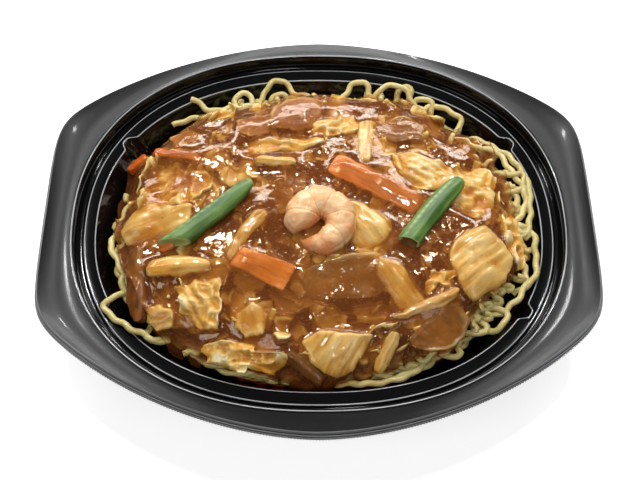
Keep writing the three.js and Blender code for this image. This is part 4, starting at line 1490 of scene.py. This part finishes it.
# %% Noodle finish and core
def noodle_material():
    shade = Shade("wheat_noodle")
    place = shade.place()
    cloud = shade.noise(place, 70, 3)
    fine = shade.noise(place, 900, 3)
    own = shade.attribute("own")
    colour = shade.mix(own, srgb(212, 194, 126), srgb(182, 164, 94))
    colour = shade.mix(cloud.band(0.45, 0.75) * 0.5, colour, srgb(190, 156, 84))
    colour = shade.mix(fine.band(0.5, 0.8) * 0.5, colour, srgb(232, 224, 172))
    colour = shade.glazed(colour)
    shade.set(Base_Color=colour, Roughness=0.34 + 0.2 * fine, Coat_Weight=0.35,
              Coat_Roughness=0.15, Subsurface_Weight=0.12, Subsurface_Scale=0.002)
    ridge = shade.bump(shade.noise(place, 480, 3), 0.5, 0.0009)
    shade.set(Normal=shade.bump(fine, 0.3, 0.0004, ridge))
    return shade.material


def make_core():
    """The hidden inside of the noodle bed, a little smaller than the solid."""
    # Each level is a share of the bed's oval and a height in millimetres.
    levels = np.array([[0.90, 2.5], [0.92, 8], [0.93, 15], [0.94, 20], [0.92, 24], [0.87, 27],
                       [0.78, 31], [0.65, 34], [0.5, 35.5], [0.3, 37], [0.1, 37.6]])
    sides = 200
    angle = np.arange(sides) * 2 * np.pi / sides
    radius = oval_radius(BED, MOUND_POWER, angle)[None] * levels[:, :1]
    rings = np.stack([radius * np.cos(angle), radius * np.sin(angle),
                      np.repeat(levels[:, 1:], sides, 1)], -1)
    keep = np.minimum(oval_radius(FLOOR_OVAL, OVAL_POWER, angle) - 0.5, radius[0])
    rings[0, :, 0], rings[0, :, 1] = keep * np.cos(angle), keep * np.sin(angle)
    core = link_mesh("noodle_core", stack_points(rings), ring_faces(*rings.shape[:2]))
    shade = Shade("noodle_core")
    cloud = shade.noise(shade.place(), 200, 4)
    colour = shade.glazed(shade.mix(cloud, srgb(176, 140, 80), srgb(214, 186, 120)))
    shade.set(Base_Color=colour, Roughness=0.6,
              Normal=shade.bump(cloud, 0.6, 0.001))
    core.data.materials.append(shade.material)
    return finish_piece(core, "noodles")


FINISH["noodle"] = noodle_material()
print("noodle finish nodes:", len(FINISH["noodle"].node_tree.nodes))

# %% [markdown]
# ## Strands grown along the paths
#
# A node tree turns the paths into strands: it spaces the points evenly, sways them sideways in
# a crimp, lets them drift with a noise, and sweeps a slightly flat ring along them. Its sizes
# are named inputs, so a thicker or curlier noodle is one changed value.

# %% Strands grown along the paths
def noodle_tree(material):
    tree = Grower("noodle_strands", {"Thickness": 3.0 * MM, "Step": 1.15 * MM, "Crimp": 0.45 * MM,
                                     "Crimp Length": 9 * MM, "Wander": 3.4 * MM})
    curve = tree.add("GeometryNodeMeshToCurve", None, {"Mesh": tree.start.outputs["Geometry"]})
    curve = tree.add("GeometryNodeResampleCurve", {"mode": "LENGTH"},
                     {"Curve": curve, "Length": tree.size("Step")})
    own = tree.add("GeometryNodeInputNamedAttribute", {"data_type": "FLOAT"}, {"Name": "own"})
    run = tree.add("GeometryNodeSplineParameter", output=1)
    turns = tree.math("DIVIDE", run, tree.size("Crimp Length"))
    shifted_turns = tree.math("ADD", turns, tree.math("MULTIPLY", own, 7.0))
    phase = tree.math("MULTIPLY", shifted_turns, math.tau)
    wave = tree.math("MULTIPLY", tree.add("ShaderNodeMath", {"operation": "SINE"}, {0: phase}),
                     tree.size("Crimp"))
    tangent = tree.add("GeometryNodeInputTangent")
    side = tree.vector("CROSS_PRODUCT", tangent, (0, 0, 1))
    sway = tree.scaled(side, wave)
    place = tree.add("GeometryNodeInputPosition")
    shifted = tree.vector("ADD", place, tree.scaled((0.3, 0.2, 0.5), own))
    noise = tree.add("ShaderNodeTexNoise", None,
                     {"Vector": shifted, "Scale": 70.0, "Detail": 1.0}, output=1)
    drift = tree.scaled(tree.vector("SUBTRACT", noise, (0.5, 0.5, 0.5)), tree.size("Wander"))
    moved = tree.add("GeometryNodeSetPosition", None, {
        "Geometry": curve, "Offset": tree.vector("ADD", sway, drift)})
    profile = tree.add("GeometryNodeCurvePrimitiveCircle", {"mode": "RADIUS"}, {
        "Resolution": 8, "Radius": tree.math("MULTIPLY", tree.size("Thickness"), 0.5)})
    flat = tree.add("GeometryNodeTransform", None, {"Geometry": profile, "Scale": (1, 0.88, 1)})
    body = tree.add("GeometryNodeCurveToMesh", None, {
        "Curve": moved, "Profile Curve": flat, "Fill Caps": True})
    smooth = tree.add("GeometryNodeSetShadeSmooth", None, {"Geometry": body})
    tree.finish(smooth, material)
    return tree


strands = noodle_tree(FINISH["noodle"]).grow(paths_object("strand_paths", strand_paths()),
                                            "noodle_strands")
finish_piece(strands, "noodles")
noodle_core = make_core()
print("noodle faces:", len(strands.data.polygons), "core:", len(noodle_core.data.polygons))

# %% [markdown]
# ## Shreds inside the sauce
#
# The sauce is full of small soft bits that lie just under its surface: narrow shreds of stalk
# and wider flakes of leaf. Five shapes of each are made once and copied with random turns and
# scales, to points on a hidden sheet a little below the mound. A few dozen faces make each one,
# because it is seen only as a pale shadow.

# %% Shapes of the shreds
def shred_shapes(name, sizes, crumple, stations, sides):
    """A few small bent strips or flakes, kept out of the scene as copies' originals."""
    group = bpy.data.collections.new(name)
    for i, (length, width, thick) in enumerate(sizes):
        rings = slab(length, width, thick, bow=length * 0.06, side=0.6, section=2.4,
                     stations=stations, sides=sides)[0]
        rings = ragged(rings, crumple, 50 + i)
        crease = soft_noise(rings, 7, 60 + i) + 0.4 * soft_noise(rings, 3, 70 + i)
        rings[..., 2] += crumple * crease
        shape = link_mesh("%s_%d" % (name, i), stack_points(rings), ring_faces(*rings.shape[:2]))
        bpy.context.scene.collection.objects.unlink(shape)
        group.objects.link(shape)
    return group


SAUCE = (92.0, 76.0)
HIDDEN_RINGS, HIDDEN_SIDES = 90, 140


def under_sheet(depth):
    """A plain sheet that follows the mound below its surface. It only carries points."""
    share = np.linspace(0.02, 0.94, HIDDEN_RINGS)[:, None]
    angle = np.arange(HIDDEN_SIDES)[None] * 2 * np.pi / HIDDEN_SIDES
    radius = oval_radius(SAUCE, MOUND_POWER, angle) * share
    x, y = radius * np.cos(angle), radius * np.sin(angle)
    rings = np.stack([x, y, heap_height(x, y) - depth], -1)
    return link_mesh("under_sheet", stack_points(rings), ring_faces(*rings.shape[:2]))


print("points of a hidden sheet:", HIDDEN_RINGS * HIDDEN_SIDES)

# %% [markdown]
# ## Scattering the shreds
#
# The tree takes the density and the smallest and largest scale as named inputs. Each copy is
# spun about the sheet's own direction and leans a little, so that a few edges rise towards the
# surface. Flakes lean less than shreds, because they are wide and would stand out of it.

# %% Scattering the shreds
def shred_tree(shapes, material, density, seed, scale_low, scale_high, lean=0.35):
    tree = Grower("shreds", {"Density": density, "Smallest": scale_low, "Largest": scale_high})
    points = tree.scatter(seed)
    info = tree.add("GeometryNodeCollectionInfo", None, {
        "Collection": shapes, "Separate Children": True, "Reset Children": True})
    spin = tree.add("FunctionNodeRandomValue", {"data_type": "FLOAT_VECTOR"}, {
        0: (-lean, -lean, 0.0), 1: (lean, lean, math.tau), "Seed": seed + 1})
    turned = tree.add("FunctionNodeRotateEuler", {"space": "LOCAL"}, {
        "Rotation": points.node.outputs["Rotation"], "Rotate By": spin})
    copies = tree.add("GeometryNodeInstanceOnPoints", None, {
        "Points": points, "Instance": info, "Pick Instance": True, "Rotation": turned,
        "Scale": tree.random_scale(seed + 2)})
    tree.finish(copies, material)
    return tree


shreds = shred_tree(shred_shapes("small_shred", [
    (9, 2.2, 1.0), (13, 1.6, 1.2), (6, 4.2, 0.9), (16, 2.8, 1.0), (4.5, 3.2, 1.2)], 0.5, 10, 8),
    FINISH["stalk"], 13000, 9, 0.6, 1.25).grow(under_sheet(0.7), "sunken_shreds")
flakes = shred_tree(shred_shapes("flake", [
    (24, 12, 1.6), (16, 14, 1.4), (27, 8, 1.8), (14, 9, 2.0), (22, 16, 1.4)], 2.6, 12, 9),
    FINISH["leaf"], 4600, 5, 0.6, 1.1, lean=0.08).grow(under_sheet(1.8), "sunken_flakes")
extra_piece(shreds)
extra_piece(flakes)
print("shred faces:", len(shreds.data.polygons), "flake faces:", len(flakes.data.polygons))

# %% [markdown]
# ## The sauce
#
# The sauce is a starchy brown glaze. It fills the gaps between the vegetables and hangs over
# them as a thin skin, so the whole heap looks wet and its edges look soft. A fluid simulation
# could pour it, but its edge would not be where it should. So the surface is one fine sheet,
# and its outline is an oval with lobes and bays, as a thick sauce leaves them.

# %% Sheet of points
SHEET_STEPS = 264
SAUCE_LOBES = [
    (30, 4, 6), (41, -3, 5), (62, 4, 7), (78, -3, 6), (90, 3, 5), (113, -5, 13), (168, 5, 16),
    (225, 4, 14), (270, 5, 14), (300, -2, 6), (311, 2, 5), (329, -6, 8), (349, 4, 7),
]


def outline_share(angle):
    """The sauce's edge as a share of its oval.

    A lobe has a heading in degrees, a push outwards in millimetres and a width in degrees. A
    bay is a lobe with a push below 0."""
    share = np.ones_like(angle)
    for heading, push, width in SAUCE_LOBES:
        gap = (np.degrees(angle) - heading + 180) % 360 - 180
        share += push / (sum(SAUCE) / 2) * np.exp(-(gap / width) ** 2)
    return share


def sheet_grid():
    """A square grid bent into the sauce's oval. Returns x, y and the share of the radius."""
    line = np.linspace(-1, 1, SHEET_STEPS)
    u, v = np.meshgrid(line, line, indexing="ij")
    disc_x, disc_y = u * np.sqrt(1 - v * v / 2), v * np.sqrt(1 - u * u / 2)
    share = np.hypot(disc_x, disc_y)
    angle = np.arctan2(disc_y * SAUCE[1], disc_x * SAUCE[0])
    ring = np.stack([np.cos(angle), np.sin(angle), 0 * angle], -1)
    uneven = outline_share(angle) + 0.012 * soft_noise(ring * 60, 4, 32)
    reach = uneven * share ** 3 + share * (1 - share ** 2)
    radius = oval_radius(SAUCE, MOUND_POWER, angle) * reach
    return radius * np.cos(angle), radius * np.sin(angle), share


print("points of the sheet:", sheet_grid()[0].size)

# %% [markdown]
# ## Measuring with rays
#
# The sheet has to know what lies under it. A ray straight down from each of its points finds
# the height of the food and which piece it is. A Shrinkwrap modifier would find the height
# too, but not the piece, and every kind of vegetable holds the sauce in its own way.

# %% Rays and blur
def bvh_of(*pieces):
    """One ray-cast tree of several pieces, and the piece number of every face."""
    points, faces, owner = [], [], []
    for number, piece in enumerate(pieces):
        start = len(points)
        points += [vertex.co[:] for vertex in piece.data.vertices]
        faces += [[start + i for i in face.vertices] for face in piece.data.polygons]
        owner += [number] * len(piece.data.polygons)
    return BVHTree.FromPolygons(points, faces), np.array(owner)


def cast(tree, points, up=False):
    """Heights (mm) and face numbers of the first thing straight below, or above, each point."""
    way = Vector((0, 0, 1 if up else -1))
    heights, hits = np.zeros(len(points)), np.full(len(points), -1)
    for i, point in enumerate(points * MM):
        place, _, face, _ = tree.ray_cast(Vector(point), way)
        if place is not None:
            heights[i], hits[i] = place.z / MM, face
    return heights, hits


def tops_of(pieces, flat):
    """Top height and piece number under each point of a grid. -1 means that none is there."""
    tree, owner = bvh_of(*pieces)
    heights, hits = cast(tree, (flat + [0, 0, 80]).reshape(-1, 3))
    number = np.where(hits < 0, -1, owner[hits])
    return heights.reshape(flat.shape[:-1]), number.reshape(flat.shape[:-1])


def blur(grid, reach, times=2):
    """Box blur along both directions, a few times over."""
    width = 2 * reach + 1
    for axis in (0, 1) * times:
        pad = [(reach + 1, reach) if k == axis else (0, 0) for k in (0, 1)]
        total = np.cumsum(np.pad(grid, pad, mode="edge"), axis=axis)
        grid = (np.take(total, range(width, total.shape[axis]), axis)
                - np.take(total, range(total.shape[axis] - width), axis)) / width
    return grid


print("blur of a single 1:", blur(np.eye(1, 5, 2), 1, 1).round(2).tolist())

# %% [markdown]
# ## The sauce's level
#
# Before any vegetable lifts it, the sauce follows the mound in soft waves. At its edge it
# drapes over the noodles, as high as a ray finds them. It also needs to know the tray's inside,
# so that it never sinks through the wall.

# %% Sauce level
EDGE_HEIGHT = 19
# The tray's inside: shares of the way to its ledge, and the heights there.
INSIDE_SHARE = (0, 0.875, 0.955, 0.979, 1.0, 1.1)
INSIDE_HEIGHT = (1.2, 5.5, 20, 25.5, 30, 31)


def wall_height(x, y):
    """Height of the tray's inside under any point, so that no sauce sinks through the wall."""
    return np.interp(ledge_share(x, y), INSIDE_SHARE, INSIDE_HEIGHT)


def sauce_level(x, y, share, flat):
    """The sauce's height before any piece lifts it. At its edge it drapes over the noodles."""
    level = (heap_height(x, y) + 1.5 + 1.8 * soft_noise(flat, 16, 40)
             + 0.7 * soft_noise(flat, 6, 41)
             + 0.1 * soft_noise(flat, 2.2, 43))
    noodle_tops = tops_of([strands, noodle_core], flat)[0]
    around = np.arctan2(y, x) % (2 * np.pi)
    cover = 0.7 + 2.2 * np.exp(-((around - 3.0) / 0.5) ** 2)
    draped = np.maximum(blur(noodle_tops, 2), noodle_tops) + cover
    draped = np.maximum(draped, EDGE_HEIGHT)
    return level + (draped - level) * step(share, 0.9, 1.0)


print("inside of the tray at its middle and at its ledge:",
      wall_height(np.array([0, LEDGE_INNER[0]]), np.zeros(2)))

# %% [markdown]
# ## The sauce's surface
#
# Then the sheet is pulled up over every vegetable and is softened, so that it clings to their
# sides in fillets. Leaves and stalks stand barer than slices do. Single pieces that lie deeper
# have a value of their own, in millimetres of skin. Last, a ray under each point measures how
# deep the sauce is.

# %% Sauce surface
DEEPEST = 12
# Millimetres of sauce over a kind of piece. Below 0 it stands out of the sauce.
CLING = {"bar": 0.0, "stalk": -0.3, "leaf": -1.4, "slice": 0.0, "tan": 0.0}
# Millimetres by which the sauce lies lower around a kind.
BARE = {"bar": 0.0, "stalk": 0.8, "leaf": 2.4, "slice": 0.0, "tan": 0.0}
# Single pieces that lie deeper than their kind does.
SUNK = {"slice_middle": 0.25, "slice_rimmed_front": 0.2, "strip_middle": 1.0,
        "slice_round_back": 2.0, "slice_brown_back": 0.9, "slice_tan_back": 1.3,
        "slice_tan_left": 1.0, "stick_edge_left": 1.4, "lump_front": 1.1, "lump_left": 0.9,
        "strip_front": 0.9, "stalk_upright_back": 0.5, "carrot_slab": 1.0, "carrot_cut": 0.6,
        "stalk_diamond_front": 0.1, "carrot_sliver": 0.8, "carrot_tip": 0.7,
        "stalk_smooth_left": 0.3}


def sauce_surface():
    """Points of the sheet, and how deep the sauce is under each of them."""
    x, y, share = sheet_grid()
    flat = np.stack([x, y, 0 * x], -1)
    level = sauce_level(x, y, share, flat)
    kinds = ["bar"] * len(BARS) + [PLATES[node][0] for node in PLATES]
    flakes_and_none = [0.0, 0.0]
    sinks = np.array([SUNK.get(node, CLING[kind]) for node, kind in zip([*BARS, *PLATES], kinds)]
                     + flakes_and_none)
    bare = np.array([BARE[kind] for kind in kinds] + flakes_and_none)
    tops, number = tops_of(wetted + [flakes], flat)
    level = level - bare[number]
    skin = sinks[number] + 0.35 + 1.5 * np.clip(soft_noise(flat, 8, 42), 0, 1)
    raised = np.maximum(level, np.where(number >= 0, tops + skin, 0))
    film = blur(raised, 4, 3)
    least = np.where(number >= 0, tops + 0.1, 0)
    film = blur(np.maximum(film, least), 1, 1) + 0.05 * soft_noise(flat, 1.7, 44)
    film = np.maximum(film, least)
    film = np.where(share < 0.995, film, level)
    film = np.maximum(film, wall_height(x, y) + 1.2)
    everything = bvh_of(*wetted, shreds, flakes, strands, noodle_core)[0]
    below = cast(everything, np.stack([x, y, film - 0.02], -1).reshape(-1, 3))[0]
    return np.stack([x, y, film], -1), np.clip(film - below.reshape(film.shape), 0, DEEPEST)


def tuck_under(piece, covers):
    """Presses the scraps down wherever they would stick out through a larger piece."""
    points = points_of(piece)
    tops, number = tops_of(covers, points)
    points[:, 2] = np.where(number >= 0, np.minimum(points[:, 2], tops - 0.6), points[:, 2])
    piece.data.vertices.foreach_set("co", (points * MM).ravel())
    piece.data.update()


for scraps in (flakes, shreds):
    tuck_under(scraps, wetted)
sheet_points, sheet_depth = sauce_surface()
print("mean depth of the sauce:", sheet_depth.mean().round(1), "mm")

# %% [markdown]
# ## The sauce's finish
#
# Thin sauce is amber and clear, and deep sauce is brown and hides what lies below. A real
# volume would show that, but it can't be baked. So the sheet's opacity and colour follow the
# measured depth, and the pieces under it are tinted by the depth over them. The surface is
# nearly a mirror, with ripples, so that it breaks the lamps into short glints.

# %% Sauce finish
def sauce_material():
    shade = Shade("brown_glaze")
    shade.surface.inputs["Specular Tint"].default_value = AMBER
    place = shade.place()
    depth = shade.attribute("depth")
    cloud = shade.noise(place, 90, 4, 0.6)
    fine = shade.noise(place, 420, 4, 0.6)
    speck = shade.noise(place, 1500, 2, 0.6)
    thick = depth * (0.6 + 0.8 * cloud)
    colour = shade.mix(thick.band(0.1, 3.0), srgb(204, 134, 56), srgb(156, 92, 38))
    colour = shade.mix(thick.band(2.4, 6.5), colour, srgb(108, 56, 22))
    colour = shade.mix(speck.band(0.6, 0.74) * 0.4, colour, srgb(196, 124, 60))
    colour = shade.mix((1 - speck).band(0.6, 0.75) * 0.5, colour, srgb(100, 50, 20))
    seen = 1 - (thick * (-1 / 3.6)).exp()
    shade.set(Base_Color=colour, Alpha=seen * 0.84 + (speck * 0.08 + 0.07),
              Roughness=0.07 + 0.08 * fine, Coat_Weight=0.8, Coat_Roughness=0.02, IOR=1.5,
              Specular_IOR_Level=0.6)
    cell = shade.add("ShaderNodeTexVoronoi", None, {"Vector": place, "Scale": 330.0})
    bubbles = shade.bump((1 - cell).band(0.72, 0.9), 0.5, 0.0003)
    ripple = shade.bump(shade.noise(place, 170, 2), 0.4, 0.0016, bubbles)
    shade.set(Normal=shade.bump(fine, 0.12, 0.0004, ripple))
    return shade.material


FINISH["sauce"] = sauce_material()
print("sauce finish nodes:", len(FINISH["sauce"].node_tree.nodes))

# %% [markdown]
# ## Closing the sheet
#
# An open sheet would have no inside. So its border is turned down and drawn in by two more
# rings, and a fan closes it underneath. Then a ray straight up from every point of the food
# stores how much sauce lies over it, which tints its finish.

# %% Closing the sheet
def sheet_faces(n):
    """Faces of a square grid of n by n points."""
    i, j = np.meshgrid(np.arange(n - 1), np.arange(n - 1), indexing="ij")
    a = i * n + j
    return np.stack([a, a + n, a + n + 1, a + 1], -1).reshape(-1, 4).tolist()


def border(n):
    """Indices round the sheet's edge, in order."""
    low, high = np.arange(n - 1), np.arange(n - 1, 0, -1)
    return np.concatenate([low * n, (n - 1) * n + low, high * n + n - 1, high])


def store_depth(pieces, sheet):
    """Gives every point of the pieces the depth of sauce over it, in millimetres."""
    tree = bvh_of(sheet)[0]
    for piece in pieces:
        points = points_of(piece)
        heights, hits = cast(tree, points, up=True)
        depth = np.where(hits < 0, 0, np.clip(heights - points[:, 2], 0, DEEPEST))
        layer = piece.data.attributes.new("depth", "FLOAT", "POINT")
        layer.data.foreach_set("value", depth.astype(np.float32))


def make_sauce(points, depth):
    n = SHEET_STEPS
    edge = border(n)
    flat = points.reshape(-1, 3)
    depth = depth.ravel()
    rim = flat[edge]
    under = [rim * [0.985, 0.985, 1] - [0, 0, 1.6], rim * [0.9, 0.9, 1] - [0, 0, 5]]
    under[1][:, 2] = np.minimum(under[1][:, 2], 24)
    for lower in under:
        lower[:, 2] = np.maximum(lower[:, 2], wall_height(lower[:, 0], lower[:, 1]) + 0.5)
    faces = sheet_faces(n)
    ring, start = edge, len(flat)
    for lower in under:
        new = np.arange(start, start + len(lower))
        faces += np.stack([ring, np.roll(ring, -1), np.roll(new, -1), new], -1)[:, ::-1].tolist()
        ring, start = new, start + len(lower)
    faces += [[start, int(a), int(b)] for a, b in zip(ring, np.roll(ring, -1))]
    all_points = np.vstack([flat, *under, [[0, 0, 24]]])
    depth = np.concatenate([depth, np.tile(depth[edge], 2), [3]])
    sauce = link_mesh("sauce_glaze", all_points, faces, {"depth": depth})
    sauce.data.materials.append(FINISH["sauce"])
    return finish_piece(sauce, "sauce")


sauce = make_sauce(sheet_points, sheet_depth)
store_depth([*wetted, carrot_bit, shreds, flakes, strands, noodle_core], sauce)
print("sauce faces:", len(sauce.data.polygons))

# %% [markdown]
# ## Bubbles
#
# Stirring leaves air in the starch, so small bubbles stand in the skin of the sauce and each
# catches a pin-point of light. A low ball is copied to seeded places on the sheet and half
# sunk there. Few faces are enough at that size.

# %% Bubbles in the skin
def bubble_tree(material):
    tree = Grower("bubbles", {"Density": 15000, "Bubble Radius": 0.75 * MM,
                              "Smallest": 0.3, "Largest": 1.0})
    points = tree.scatter(17)
    ball = tree.add("GeometryNodeMeshUVSphere", None, {
        "Segments": 9, "Rings": 6, "Radius": tree.size("Bubble Radius")})
    smooth = tree.add("GeometryNodeSetShadeSmooth", None, {"Geometry": ball})
    copies = tree.add("GeometryNodeInstanceOnPoints", None, {
        "Points": points, "Instance": smooth, "Scale": tree.random_scale(18)})
    tree.finish(copies, material)
    return tree


inner = sheet_points[12:-12:2, 12:-12:2]
bubbles = bubble_tree(FINISH["sauce"]).grow(
    link_mesh("bubble_places", inner.reshape(-1, 3), sheet_faces(len(inner))), "sauce_bubbles")
extra_piece(bubbles)
print("bubble faces:", len(bubbles.data.polygons))

# %% [markdown]
